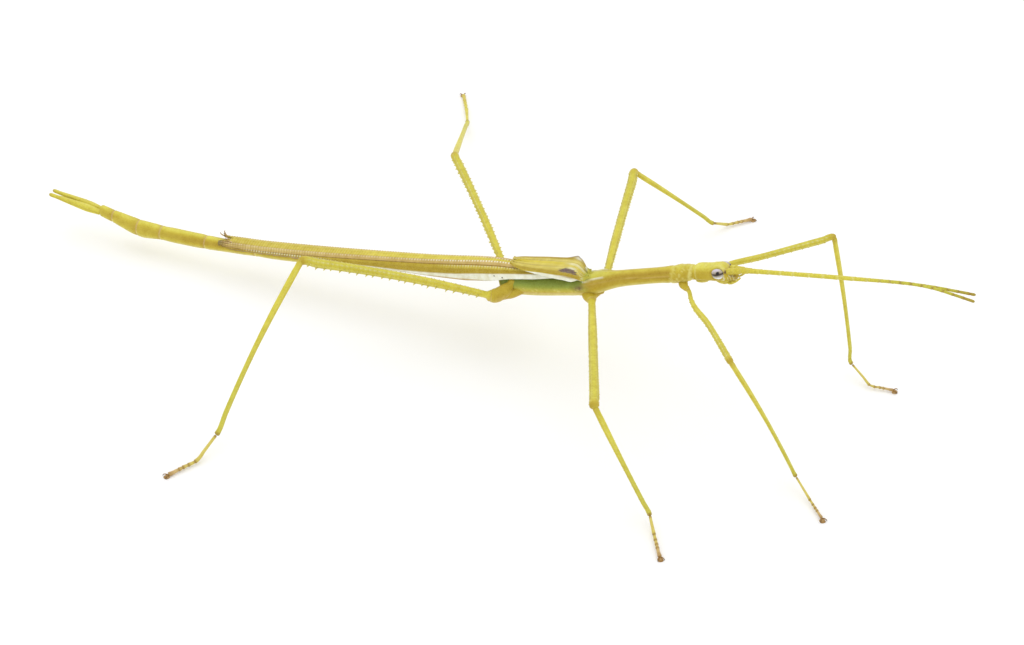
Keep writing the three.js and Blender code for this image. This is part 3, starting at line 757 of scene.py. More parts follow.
PALPS = (  # routes on the left, with their thickness
    (((5.8, 0.7, -1.15), (6.4, 0.88, -1.25), (7.1, 1.0, -1.1), (7.85, 0.95, -0.8), (8.6, 0.75, -0.35)), 0.18),
    (((5.9, 0.33, -1.15), (6.3, 0.38, -1.3), (6.75, 0.4, -1.3), (7.15, 0.36, -1.12)), 0.15),
)
BROW = ((3.9, 1.5), (4.9, 1.62), (5.6, 1.25), (6.15, 0.78))  # ridges and folds as x and height
GENA = ((6.0, 0.25), (5.95, -0.25), (5.35, -0.85), (4.4, -1.2))
CHEEK_FOLDS = (
    ((6.15, 0.15), (6.5, -0.2), (6.45, -0.6)), ((6.6, 0.2), (6.95, -0.15), (6.85, -0.75)),
    ((7.1, 0.05), (7.35, -0.35), (7.2, -0.8)),
)
THROAT_FOLD = (1.35, 0.62, -0.93)  # middle of the left one
THROAT_FOLD_SIZE = (1.15, 0.4, 0.26)
CHEEK_PITS = ((6.75, -0.5), (7.05, -0.05), (7.35, -0.15), (6.35, -0.05))


def head_axes():
    """The head's origin at the neck, and its forward, left and upward directions as columns."""
    left, right = middle_of("eye_left"), middle_of("eye_right")
    turn = math.atan2(right[0] - left[0], left[1] - right[1])
    axes = np.array(Matrix.Rotation(turn, 3, "Z") @ Matrix.Rotation(-HEAD_LIFT, 3, "Y"))
    return (left + right) / 2 - axes @ BETWEEN_EYES, axes


HEAD_AT, HEAD_AXES = head_axes()


def from_head(spots):
    """Points given in the head's own frame, in the insect's."""
    return HEAD_AT + np.asarray(spots, float) @ HEAD_AXES.T


def mirrored(spots, side):
    """Points given on the left, on the side whose sign is given."""
    return np.asarray(spots, float) * (1, side, 1)


def head_tube(shell, rows, step, caps, around, relief, paint):
    """Tube along the head's own x, with sections square to it."""
    start = rows[0, 0]
    at = stations(rows[-1, 0] - start, step, caps)
    shape = through(rows[:, 0], rows[:, 1:], start + at)
    ones = np.ones((len(at), 1))
    points = from_head(np.stack([start + at, 0 * at, shape[:, 0]], 1))
    line = Line(at, points, ones * -HEAD_AXES[:, 1], ones * HEAD_AXES[:, 2])
    axis, half, above, below = shape.T[..., None]
    close = rounded(at, at[-1], caps)[:, None]

    def section(at, angle):
        deep = np.where(np.cos(angle) > 0, above, below)
        x, y, z = start + at, -np.sin(angle) * half, axis + np.cos(angle) * deep
        proud = relief(x, y, z, np.abs(np.degrees(angle)))
        return np.sin(angle) * (half + proud) * close, np.cos(angle) * (deep + proud) * close

    shell.tube(line, around, section, lambda at, angle: paint(start + at, np.abs(angle)))


def eye_reach(x, z):
    """Distance from an eye's middle, in eye radii."""
    return np.hypot((x - BETWEEN_EYES[0]) / EYE_HALF[0], (z - BETWEEN_EYES[2]) / EYE_HALF[2])


def height_on(rows, x, around):
    """Height of the place on a head form at x, degrees from its top."""
    axis, above, below = (np.interp(x, rows[:, 0], rows[:, k]) for k in (1, 3, 4))
    turn = np.cos(np.radians(around))
    return axis + turn * np.where(turn > 0, above, below)


def add_skull(shell, sizes, colours):
    """Head with a rim and a sunk seat for each eye, brows and cheek ridges."""

    def relief(x, y, z, around):
        reach = eye_reach(x, z)
        beside = smooth(0.3, 0.7, np.abs(y))
        proud = beside * (sizes.eye_rim / MM * bell(reach, 1.1, 0.12) + 0.08 * bell(reach, 1.0, 0.45))
        proud = proud - beside * 0.4 * (1 - smooth(0.78, 0.95, reach))
        proud = proud - 0.06 * bell(x, 0.72, 0.12) - 0.03 * bell(x, 1.15, 0.09) + 0.03 * bell(x, 0.95, 0.1)
        proud = proud - 0.03 * bell(around, 0, 4) * smooth(1.2, 1.6, x) * (1 - smooth(3.9, 4.3, x))
        proud = proud + 0.09 * stroke(x, z, BROW, 0.14) * smooth(0.25, 0.5, np.abs(y))
        proud = proud + 0.09 * stroke(x, z, GENA, 0.11) * beside
        proud = proud + 0.1 * bell(around, 0, 14) * bell(x, 5.75, 0.35)
        proud = proud - 0.08 * bell(around, 0, 7) * bell(x, 6.4, 0.4)
        proud = proud + 0.07 * bell(around, 32, 9) * bell(x, 5.75, 0.3)
        proud = proud - 0.1 * bell(around, 50, 7) * bell(x, 6.2, 0.14)
        spots = spread(x, y, z)
        proud = proud + 0.025 * rough(spots, 0.5)
        return proud + smooth(5.5, 6.1, x) * 0.05 * rough(spots * (1.0, 0.5, 2.2), 0.3, 3.0)

    def paint(x, around):
        z = height_on(SKULL, x, around)
        gold, pale = colours.gold, colours.pale
        tone = bands(around, [
            (0, colours.yellow), (30, colours.yellow), (46, blend(colours.yellow, gold, 0.55)),
            (62, blend(gold, colours.ochre, 0.25)), (92, blend(gold, colours.ochre, 0.15)),
            (122, gold), (146, blend(gold, pale, 0.5)), (165, pale), (180, pale),
        ]) + 0 * x[..., None]
        # Painted highlights: pale streaks along the top of the head.
        shine = 0.4 * bell(around, 16, 13) * (0.5 + 0.5 * np.sin(x * 5.2))
        tone = blend(tone, pale, shine * smooth(0.5, 1.5, x))
        tone = blend(tone, pale, 0.7 * bell(x, 0.98, 0.12) + 0 * around)
        shadow = bell(eye_reach(x, z), 1.12, 0.12) * smooth(40, 55, around)
        tone = blend(tone, colours.ochre, shadow * (0.35 + 0.4 * smooth(0.2, -0.6, x - BETWEEN_EYES[0])))
        brow = 0.85 * stroke(x, z, BROW, 0.15) * smooth(8, 20, around)
        tone = blend(tone, blend(colours.yellow, pale, 0.4), brow)
        tone = blend(tone, colours.cream, 0.6 * stroke(x, z, GENA, 0.1))
        crown = 0.8 * bell(around, 32, 10) * bell(x, 5.75, 0.28)
        tone = blend(tone, pale, crown + 0.6 * bell(around, 10, 7) * bell(x, 5.4, 0.3))
        crease = 0.5 * bell(x, 6.2 - 0.003 * around, 0.07)
        tone = blend(tone, colours.tan, crease * (1 - smooth(50, 60, around)))
        pit = np.hypot((x - 6.27) / 0.2, (z - 0.6) / 0.15)
        tone = blend(tone, colours.plum, 0.95 * (1 - smooth(0.7, 1.2, pit)))
        tone = blend(tone, colours.cream, 0.7 * bell(x, 6.5, 0.12) * bell(z, 0.62, 0.14))
        return blend(tone, gold, 0.6 * smooth(6.4, 6.9, x) + 0 * around)

    head_tube(shell, SKULL, 0.08, (0.25, 0.35), 88, relief, paint)


def add_face(shell, colours):
    """Wrinkled front of the head between the antennae and the mouthparts."""

    def relief(x, y, z, around):
        beside = smooth(0.3, 0.6, np.abs(y))
        folds = beside * sum(stroke(x, z, fold, 0.1) for fold in CHEEK_FOLDS)
        pits = beside * sum(dot(x, z, pit, 0.1) for pit in CHEEK_PITS)
        spots = spread(x, y, z)
        return 0.09 * folds - 0.1 * pits + 0.05 * rough(spots, 0.25, 3.0) - 0.06 * bell(around, 0, 6)

    def paint(x, around):
        z = height_on(FACE, x, around)
        tone = blend(colours.gold, colours.ochre, 0.2 + 0.4 * bell(x, 7.3, 0.4) * smooth(40, 80, around))
        tone = blend(tone, colours.brown, 0.55 * stroke(x, z, ((6.75, 0.1), (7.45, -0.35)), 0.16))
        for fold in CHEEK_FOLDS:
            tone = blend(tone, blend(colours.pale, colours.cream, 0.35), 0.75 * stroke(x, z, fold, 0.08))
        for pit in CHEEK_PITS:
            tone = blend(tone, colours.plum, 0.7 * dot(x, z, pit, 0.1))
        return tone

    head_tube(shell, FACE, 0.07, (0.3, 0.3), 64, relief, paint)


def add_mouthparts(shell, colours):
    """Cleft mouth under the face, with two jointed palps on each side."""

    def relief(x, y, z, around):
        cleft = -0.08 * bell(around, 0, 8) - 0.08 * bell(around, 100, 5) * smooth(5.0, 5.6, x)
        spots = spread(x, y, z)
        return cleft + 0.035 * rough(spots * (0.6, 1, 1.6), 0.3, 5.0)

    def paint(x, around):
        tone = blend(colours.gold, colours.yellow, 0.35 + 0.3 * np.sin(x * 7 + around / 20))
        tone = blend(tone, colours.brown, 0.45 * bell(around, 100, 7) * smooth(5.0, 5.6, x))
        tone = blend(tone, colours.pale, 0.5 * bell(around, 86, 7) * smooth(4.6, 5.4, x))
        return blend(tone, colours.plum, 0.8 * stroke(x, around / 50, ((4.15, 2.5), (4.3, 2.5)), 0.1))

    head_tube(shell, MOUTH, 0.08, (0.3, 0.3), 52, relief, paint)
    for side in SIDES.values():
        for route, thick in PALPS:
            caps = (0.1, 0.16)
            line = line_through(from_head(mirrored(route, side)), 0.06, caps)
            joints = np.linspace(0.24, 0.98, 4) * line.length

            def palp_form(at, angle):
                notch = sum(bell(at, joint, 0.06) for joint in joints[:-1])
                flare = sum(bell(at, joint - 0.12, 0.12) for joint in joints)
                radius = thick * (1 - 0.3 * at / line.length - 0.14 * notch + 0.08 * flare)
                radius = radius * rounded(at, line.length, caps)
                return circle(angle, radius)

            def palp_paint(at, angle):
                ring = sum(bell(at, joint, 0.09) for joint in joints[:-1])
                tone = blend(colours.gold, colours.yellow, 0.5 + 0 * at * angle)
                return blend(tone, colours.pale, 0.6 * ring + 0 * angle)

            shell.tube(line, 12, palp_form, palp_paint)


def antenna_rings(side):
    """Rings of an antenna, from the one nearest to the head."""
    return rings(f"antenna_{side}", ANTENNA_SIDES, HEAD_AT)


SCAPE_ROOT = (6.4, 0.58, 0.68)  # of the left antenna, inside the head
SCAPE_ROWS = np.array([[0.0, 0.42], [0.4, 0.52], [1.0, 0.5], [1.8, 0.42], [2.8, 0.35], [3.8, 0.3]])


def add_scapes(shell, colours):
    """Broad, smooth basal segment of each antenna, which grows out of the head."""
    for side, sign in SIDES.items():
        middles, _ = antenna_rings(side)
        way = heading(middles[0], middles[1])
        root = from_head(mirrored(SCAPE_ROOT, sign))
        route = [root, middles[0] + way * 0.2, middles[0] + way * 1.2, middles[0] + way * 2.4]
        caps = (0.2, 0.1)
        line = line_through(route, 0.07, caps)
        size = np.interp(line.at, *SCAPE_ROWS.T)[:, None]

        def section(at, angle):
            spots = spread(at, np.sin(angle), np.cos(angle))
            crease = 0.04 * bell(at, 0.85, 0.07) + 0.03 * ridged(angle, (-70, -20, 25, 75), 14)
            radius = (size - crease + 0.035 * rough(spots, 0.3, 2.0)) * rounded(at, line.length, caps)
            return circle(angle, radius)

        def paint(at, angle):
            tone = blend(colours.yellow, colours.gold, smooth(20, 110, np.abs(angle)) + 0 * at)
            # Painted highlights: pale lines along the upper side, at 18 and 58 degrees.
            shine = bell(np.abs(angle), 18, 9) + bell(np.abs(angle), 58, 8)
            tone = blend(tone, colours.ochre, 0.35 * bell(at, 0.85, 0.1) + 0.3 * bell(np.abs(angle), 38, 8))
            return blend(tone, colours.pale, 0.7 * shine * (0.6 + 0.4 * np.sin(at * 4.5 + 1)))

        shell.tube(line, 30, section, paint)


# ---------------------------------------------------------------- legs
FEMUR_RIDGES = (-145, -95, -35, 35, 95, 145)
SHIN_RIDGES = (-135, -45, 45, 135)
TEETH = {  # of each pair: ridge, height factor and spacing
    "fore": ((95, 0.35, 1.3), (145, 0.4, 1.3)),
    "middle": ((60, 0.45, 0.74), (122, 0.6, 0.74), (145, 0.7, 0.9)),
    "hind": ((35, 0.35, 0.8), (95, 0.7, 1.0), (145, 1.25, 1.3)),
}
TEETH_CLEAR = (1.8, 1.2)  # of the femur's two ends
TOOTH_PITCH = 0.74  # of the notches and the painted glints on a femur
TOOTH_GIRTH = 0.15
TOOTH_RISE = 0.17  # share of the femur's radius added to each tooth
SPINES_CLEAR = (2.0, 0.5)  # of the tibia's two ends
SPINE_SPACING = 1.25
SPINE_RISE = 0.09
SPINE_LEAN = 0.2  # towards the foot
SPINE_GIRTH = 0.05
SPINE_DEPTH = 0.9  # where spines and teeth start, as a share of the limb's radius
STRAY = 0.2  # how far one may stand from its even place
TARSUS_JOINTS = np.array([0.0, 0.25, 0.46, 0.62])  # as shares of the part past the first segment
TARSUS_LOBE = (0.2, 0.2, 0.13)
TARSUS_COLOUR = {"hind_left": 0.3}  # how brown a tarsus is, where it is paler than the others
GLINTS = {"fore": 38, "middle": 60, "hind": 38}  # degrees from the top, of the row of painted glints, pale highlight dots, on a femur
HIPS = {  # of each pair: distance past the coxa's root as a share of its length, half width and half height
    "fore": ((-1.0, 0.78, 0.5), (0.0, 0.68, 0.58), (0.5, 0.5, 0.48), (1.05, 0.36, 0.36)),
    "middle": ((-1.0, 1.6, 0.8), (0.0, 1.1, 0.82), (0.8, 0.76, 0.7), (1.6, 0.58, 0.6)),
    "hind": (
        (-0.5, 0.6, 0.6), (-0.2, 1.0, 1.0), (0.0, 1.05, 1.1),
        (0.85, 1.05, 1.15), (1.12, 0.85, 0.9), (1.3, 0.62, 0.62),
    ),
}
HIP_LEAD = {  # from the root, inwards
    "fore": (0.4, 0.5, 0), "middle": (0.2, 0.9, 0.1), "hind": (-1.3, 0.9, 0.1),
}
HIND_FOLD = ((3.0, 1.3, 0.15), (1.6, 0.6, -0.35))  # from the coxa's root, forward and inwards
HIND_FOLD_ROWS = np.array([[0, 0.4, 0.5], [2.2, 0.8, 0.75], [4.5, 0.75, 0.7]])  # place, half width and height
KNEE_COLOUR = 0.35  # how far a knee turns from yellow to ochre


def leg_rings(leg):
    """Rings of a leg's femur, tibia and tarsus, each from the end nearer to the trunk."""
    femur = rings(f"femur_{leg}", FEMUR_SIDES, TRUNK_MIDDLE)
    tibia = rings(f"tibia_{leg}", SHIN_SIDES, femur[0][-1])
    tarsus = rings(f"tarsus_{leg}", SHIN_SIDES, tibia[0][-1])
    return femur, tibia, tarsus


def radius_along(line, middles, radii):
    """Radius at each station, from the CAD rings that lie along the line."""
    way = heading(line.points[0], line.points[-1])
    return np.interp((line.points - line.points[0]) @ way, (middles - line.points[0]) @ way, radii)[:, None]


def ridged(angle, ridges, width):
    """Sum of the ridges at each angle, where they are given in degrees from the top."""
    degrees = np.degrees(angle)
    return sum(
        bell(degrees, ridge, width) + bell(degrees, ridge + 360, width) + bell(degrees, ridge - 360, width)
        for ridge in ridges
    )


def spine_base(line, radius, at, turn):
    """Station, outward and forward directions, and the place just under a limb's surface there."""
    i = int(np.searchsorted(line.at, at))
    out = math.sin(turn) * line.side[i] + math.cos(turn) * line.over[i]
    base = line.points[i] + out * radius[i] * SPINE_DEPTH
    return i, out, heading(line.points[i], line.points[i + 1]), base


def add_coxa(shell, leg, sizes, colours):
    """Hip that widens out of the trunk and tapers into the trochanter and the femur's base."""
    start, girth = rings(f"femur_{leg}", FEMUR_SIDES, TRUNK_MIDDLE)
    spots = points_of(f"coxa_{leg}")
    spots = spots[np.argsort(np.linalg.norm(spots - start[0], axis=1))]
    hip, root = spots[:9].mean(0), spots[-9:].mean(0)
    reach = np.linalg.norm(hip - root)
    way = heading(start[0], start[1])
    pair, side = leg.split("_")
    inwards = np.array([1, -SIDES[side], 1])
    lead = root + (root - hip) + inwards * HIP_LEAD[pair]
    caps = (0.3, 0.2)
    main = line_through([lead, root, hip, start[0] + way * 0.2, start[0] + way * 1.3], 0.12, caps)
    joint = main.at[np.argmin(np.linalg.norm(main.points - hip, axis=1))]
    shares, halves, heights = np.array(HIPS[pair]).T
    forms = [(main, joint - reach + shares * reach, halves, heights, girth[1] * 1.03)]
    if pair == "hind":
        route = [root + inwards * HIND_FOLD[0], root + inwards * HIND_FOLD[1], hip - UP * 0.45]
        forms.append((line_through(route, 0.14, (0.3, 0.3)), *HIND_FOLD_ROWS.T, 0.7))

    for line, places, wide, deep, narrow in forms:
        last = joint if line is main else line.length + 2

        def section(at, angle):
            broad = np.interp(at, places, wide) * (at < places[-1]) + narrow * (at >= places[-1])
            thick = np.interp(at, places, deep) * (at < places[-1]) + narrow * (at >= places[-1])
            ease = smooth(places[-2], places[-1] + 0.3, at)
            broad, thick = (size + (narrow - size) * ease for size in (broad, thick))
            folds = 0.05 * bell(at, last + 0.1, 0.09) + 0.04 * bell(at, line.length - 0.6, 0.08)
            spots = spread(at, 2 * np.sin(angle), 2 * np.cos(angle))
            creases = rough(spots, 0.5) + 0.5 * rough(spots, 0.22, 4.0)
            more = sizes.wrinkle / MM * creases * (1 - 0.8 * ease) - folds
            close = rounded(at, line.length, caps)
            return np.sin(angle) * (broad + more) * close, np.cos(angle) * (thick + more) * close

        def paint(at, angle):
            dark = 0.35 * (1 - smooth(last - 1.6, last - 0.2, at))
            tone = blend(colours.gold, colours.ochre, dark + 0 * angle)
            tone = blend(tone, colours.leg, smooth(last - 0.3, last + 1.0, at) + 0 * angle)
            seam = 0.5 * bell(at, last + 0.12, 0.12) + 0.3 * bell(np.abs(angle), 120, 25)
            tone = blend(tone, colours.tan, seam)
            return blend(tone, colours.pale, 0.45 * bell(at, last - 0.12, 0.1) + 0 * angle)

        shell.tube(line, 30, section, paint)


def add_femur(shell, leg, sizes, colours, luck):
    """Ridged femur with rows of fine teeth, swollen at the knee."""
    (middles, radii), (shin, _), _ = leg_rings(leg)
    pair = leg.split("_")[0]
    bend = heading(middles[-1], shin[0])
    way = heading(middles[-2], middles[-1])
    root = middles[0] - (middles[1] - middles[0]) * 0.1
    route = np.vstack([root, middles, middles[-1] + (way + bend) * 0.2])
    caps = (0.25, 0.45)
    line = line_through(route, 0.25, caps)
    length = line.length
    radius = radius_along(line, middles[1:-1], radii[1:-1])

    def section(at, angle):
        knob = 0.1 * bell(at, length - 0.8, 0.5) - 0.07 * bell(at, length - 1.7, 0.3)
        on = smooth(0.5, 2.0, at) * (1 - smooth(length - 1.6, length - 0.9, at))
        ridges = 0.93 + 0.14 * ridged(angle, FEMUR_RIDGES, 8) * on
        size = radius * (ridges + knob) * rounded(at, length, caps)
        return circle(angle, size)

    def paint(at, angle):
        share = at / length
        around = np.abs(angle)
        greener = blend(colours.leg, colours.green, 0.12)
        tone = blend(colours.leg, greener, smooth(0.2, 0.7, share) + 0 * angle)
        tone = blend(tone, colours.gold, 0.4 * bell(around, 65, 18) + 0.45 * bell(around, 120, 14) + 0 * at)
        tone = blend(tone, colours.pale, 0.4 * ridged(np.radians(angle), FEMUR_RIDGES, 7) + 0 * at)
        notches = bell(around, 78, 5) + bell(around, 20, 5)
        marks = notches * smooth(0.2, 0.9, wave(at, TOOTH_PITCH)) * smooth(0.15, 0.4, share)
        tone = blend(tone, colours.ochre, 0.55 * marks)
        # Painted glints: a row of pale highlight dots along the femur.
        glints = bell(around, GLINTS[pair], 6) * smooth(0.3, 0.9, wave(at, TOOTH_PITCH, 2.5))
        tone = blend(tone, colours.cream, 0.75 * glints * smooth(0.25, 0.6, share))
        knee = smooth(length - 1.7, length - 0.6, at)
        tone = blend(tone, colours.gold, 0.7 * knee + 0 * angle)
        return blend(tone, colours.ochre, KNEE_COLOUR * 1.6 * bell(at, length - 0.45, 0.35) + 0 * angle)

    shell.tube(line, 32, section, paint)
    for ridge, factor, spacing in TEETH[pair]:
        for turn in (math.radians(ridge), -math.radians(ridge)):
            for at in np.arange(TEETH_CLEAR[0], length - TEETH_CLEAR[1], spacing):
                stray = luck.uniform(-STRAY, STRAY) * spacing
                i, out, along, base = spine_base(line, radius, at + stray, turn)
                tall = sizes.tooth / MM * factor * luck.uniform(0.7, 1.3)
                tip = base + out * (tall + radius[i] * TOOTH_RISE) + along * tall * 0.5
                shell.cone(base, tip, TOOTH_GIRTH + 0.08 * factor, 4, blend(colours.leg, colours.pale, 0.7))


def add_tibia(shell, leg, colours, luck):
    """Slim ridged tibia from the knee to a dark ankle with small spurs."""
    (thigh, _), (middles, radii), (toes, _) = leg_rings(leg)
    gap = heading(middles[-1], toes[0])
    caps = (0.3, 0.25)
    line = line_through(np.vstack([thigh[-1], middles, middles[-1] + gap * 0.12]), 0.3, caps)
    length = line.length
    radius = radius_along(line, middles[1:-1], radii[1:-1])

    def section(at, angle):
        form = 1 + 0.08 * bell(at, 0.6, 0.4) + 0.1 * bell(at, length - 0.25, 0.35)
        ridges = 0.95 + 0.12 * ridged(angle, SHIN_RIDGES, 13) * smooth(0.8, 2, at)
        size = radius * form * ridges * rounded(at, length, caps)
        return circle(angle, size)

    def paint(at, angle):
        share = at / length
        greener = blend(colours.leg, colours.green, 0.24)
        tone = blend(colours.leg, greener, smooth(0.15, 0.9, share) + 0 * angle)
        tone = blend(tone, colours.gold, 0.5 * bell(np.abs(angle), 95, 22) + 0 * at)
        tone = blend(tone, colours.pale, 0.4 * ridged(np.radians(angle), SHIN_RIDGES, 11) + 0 * at)
        tone = blend(tone, colours.ochre, KNEE_COLOUR * (1 - smooth(0.4, 1.4, at)) + 0 * angle)
        return blend(tone, colours.brown, 0.6 * smooth(length - 0.7, length - 0.2, at) + 0 * angle)

    shell.tube(line, 20, section, paint)
    for ridge in SHIN_RIDGES:
        turn = math.radians(ridge)
        for at in np.arange(SPINES_CLEAR[0], length - SPINES_CLEAR[1], SPINE_SPACING):
            _, out, along, base = spine_base(line, radius, at + luck.uniform(-STRAY, STRAY), turn)
            tip = base + out * SPINE_RISE + along * SPINE_LEAN
            shell.cone(base, tip, SPINE_GIRTH, 4, blend(colours.leg, colours.pale, 0.5))


def add_tarsus(shell, leg, colours):
    """Five tarsal segments, each flared at its end, with a soft lobe under each joint."""
    _, (shin, _), (middles, radii) = leg_rings(leg)
    foot = middle_of(f"foot_{leg}")
    foot[2] = middles[-1][2]
    route = np.vstack([shin[-1] * 0.4 + middles[0] * 0.6, middles, middles[-1] * 0.4 + foot * 0.6])
    caps = (0.15, 0.2)
    line = line_through(route, 0.12, caps)
    length = line.length
    chord = heading(middles[0], middles[-1])
    off = np.linalg.norm(np.cross(middles - middles[0], chord), axis=1)
    basal = np.linalg.norm(middles[off.argmax()] - route[0])
    joints = basal + (length - basal) * TARSUS_JOINTS
    ends = np.append(joints, length)
    starts = np.append(0, joints)
    wear = TARSUS_COLOUR.get(leg, 1)

    def section(at, angle):
        i = np.clip(np.searchsorted(joints, at), 0, 4)
        share = (at - starts[i]) / (ends[i] - starts[i])
        size = radii.mean() * (0.8 + 0.3 * share ** 2.5)
        size = size * (1 + 0.15 * smooth(0.5, 1.0, at / length))
        size = size * (1 - 0.25 * sum(bell(at, joint + 0.05, 0.07) for joint in joints))
        size = size * rounded(at, length, caps) + 0 * angle
        return circle(angle, size)

    def paint(at, angle):
        base = blend(colours.yellow, colours.tan, 0.35 * wear)
        tone = blend(base, colours.tan, wear * smooth(basal, length, at) + 0 * angle)
        dark = 0.8 * (1 - smooth(0.1, 0.7, at)) + sum(0.75 * bell(at, joint, 0.22) for joint in joints)
        tip = 0.45 * smooth(length - 1.2, length - 0.2, at)
        return blend(tone, colours.brown, wear * np.clip(dark + tip, 0, 1) + 0 * angle)

    shell.tube(line, 14, section, paint)
    for joint in joints:
        i = int(np.searchsorted(line.at, joint - 0.16))
        place = Matrix.Translation(line.points[i] - line.over[i] * 0.17)
        shell.egg(place, TARSUS_LOBE, blend(colours.tan, colours.pale, 0.35))


# ---------------------------------------------------------------- tail blades
def add_cercus(shell, side, colours):
    """Long leaf-shaped cercus with a crease along it."""
    middles, radii = rings(f"cercus_{side}", CERCUS_SIDES, TRUNK_MIDDLE)
    way = heading(middles[0], middles[1])
    caps = (0.2, 0.5)
    line = line_through(np.vstack([middles[0] - way * 0.7, middles]), 0.2, caps)
    deep = radius_along(line, middles[:-1], radii[:-1] * 1.18)

    def section(at, angle):
        grow = deep * rounded(at, line.length, caps)
        crease = 1 - 0.3 * bell(np.abs(np.degrees(angle)), 90, 22)
        broad = 1 + 0.38 * bell(at, line.length * 0.2, line.length * 0.27)
        return np.sin(angle) * grow * 0.95 * broad * crease, np.cos(angle) * grow * broad

    def paint(at, angle):
        tone = blend(colours.leg, colours.pale, 0.35 * bell(np.abs(angle), 0, 30) + 0 * at)
        tone = blend(tone, colours.ochre, 0.5 * bell(np.abs(angle), 90, 14) + 0 * at)
        return blend(tone, colours.brown, 0.5 * smooth(line.length - 0.7, line.length, at) + 0 * angle)

    shell.tube(line, 24, section, paint)


# ---------------------------------------------------------------- wings
HINDWING_GRID = (600, 62, 12)  # steps along, across the outer face and across the inner face
TEGMEN_GRID = (200, 76, 14)
RIB_PITCH = 0.47
RIB_LENGTH = 24  # how far behind the waist the ribs below the seam reach
WING_OVERLAP = {"left": 0.0, "right": -0.03}  # of a hindwing's inner margin, as a share of the way across
TEGMEN_OVERLAP = {"left": -0.02, "right": -0.12}
OVERLAP_LIFT = 0.07
TEGMEN_TIP = {"left": 0.05, "right": 0.28}  # where a tegmen's inner margin starts at its tip
BEAD_LINE = np.array([  # distance behind the waist, share of the way across
    [12, 0.1], [17, 0.17], [22, 0.29], [27, 0.35], [32, 0.42], [60, 0.6],
])
SEAM_LINE = np.array([[12, 0.42], [17, 0.47], [40, 0.71], [60, 0.9]])
CREAM_LINE = np.array([[8, 0.7], [12, 0.73], [17, 0.8], [22, 0.885], [27, 0.93], [32, 0.97], [60, 0.975]])
WING_EDGE = np.array([[5, 0.86], [9, 0.9], [13, 0.9], [17, 0.96], [20, 1.0]])  # lower edge of a hindwing
TEGMEN_CREAM = np.array([[0.5, 0.86], [2, 0.79], [5, 0.8], [8, 0.81], [9.5, 0.87], [10.6, 1.0]])
TEGMEN_EDGE = np.array([[0.5, 1.15], [3, 1.2], [6, 1.16], [8, 1.07], [10, 1.0]])  # lower edge of a tegmen
WING_SPECKS = ((15.4, 0.82), (14.0, 0.86))  # on the right hindwing
SPECK_SIZE = (0.13, 0.11, 0.09)
FRAY_AT = np.arange(0, 80, 0.05)  # places behind the waist at which the worn margin is drawn
SHREDS = 4  # loose ones at a hindwing's tip
SHRED_CURL = ((0, 0, 0), (0.7, 1, 0.4), (1.0, 1.4, 1.1), (0.7, 1.6, 1.5))  # shares of its drift
TEGMEN_ARC = 1.46  # radians from the back line to the lower edge
TEGMEN_DIP = {"left": 2.0, "right": 1.2}  # how deep a tegmen's front end sinks into the thorax
PLUM_SPOT = {"left": 0.8, "right": 0.43}  # place across a tegmen
PLUM_SIZE = (1.5, 0.17)  # half its length, and half its width as a share of the way across
PLUM_BLOOM = (0.42, 0.3, 0.36)
BEAD_WHITE = (0.95, 0.95, 0.86)
WRINKLE_WHITE = (0.95, 0.93, 0.8)
HUMP_LEAD = 0.45  # how far a tegmen's hump stands ahead of its CAD node's highest point
CREST = {"across": 0.72, "width": 0.17, "height": 0.35, "peak": 0.95, "length": 0.85}


def wing_rows(node):
    """x, and rows of ridge height, half width and edge height of a folded wing, from its tip."""
    spots = points_of(node)
    spots[:, 1] = np.abs(spots[:, 1] - MIDLINE)
    xs = np.unique(np.round(spots[:, 0], 2))
    rows = []
    for x in xs:
        ring = spots[np.abs(spots[:, 0] - x) < 0.02]
        edge = ring[np.argmax(ring[:, 1])]
        rows.append((ring[ring[:, 1] < 0.2 * edge[1]][:, 2].max(initial=edge[2]), edge[1], edge[2]))
    rows = np.array(rows)
    rows[0, [0, 2]] = 2 * rows[1, [0, 2]] - rows[2, [0, 2]]
    rows[0, 1] /= 0.82  # the tip is narrowed to that share
    return xs, rows


def hindwing_form(u, ridge, half, edge):
    """Place across and height of a share of the way across a hindwing."""
    return half * u, edge + (ridge - edge) * (1 - np.abs(u) ** 2.6)


def tegmen_form(u, ridge, half, edge):
    """Place across and height of a share of the way across a tegmen."""
    turn = u * TEGMEN_ARC
    return half * np.sin(turn) / math.sin(TEGMEN_ARC), edge + (ridge - edge) * np.cos(turn)


def add_wing(shell, node, side, steps, form, span, relief, paint, wall, sunk=0):
    """Closed wing: its outer face, then back along an inner face that meets it at every edge."""
    xs, rows = wing_rows(node)
    along, across, under = steps
    x = np.linspace(xs[0], xs[-1], along + 1)[:, None]
    ridge, half, edge = through(xs, rows, x.ravel()).T[..., None]
    v = np.concatenate([np.linspace(0, 1, across + 1), np.linspace(1, 0, under + 1)[1:]])[None, :]
    low, high = span(x, xs[0])
    u = low + (high - low) * v
    y, z = form(u, ridge, half, edge)
    y2, z2 = form(u + 0.01, ridge, half, edge)
    run = np.hypot(y2 - y, z2 - z)
    borders = np.minimum(np.minimum(v, 1 - v) * 12, np.minimum(x - xs[0], xs[-1] - x) * 1.5)
    inner = np.arange(v.shape[1]) > across
    depth = np.where(inner, -wall * np.sqrt(np.clip(borders, 0, 1)), relief(u, x))
    depth = depth - sunk * smooth(xs[-1] - 2.6, xs[-1], x)
    across_wing = MIDLINE + side * (y - (z2 - z) / run * depth)
    spots = spread(x, across_wing, z + (y2 - y) / run * depth)
    lays = spread(x, u, 0 * u)
    shell.wrap(spots, paint(u, x), lays)


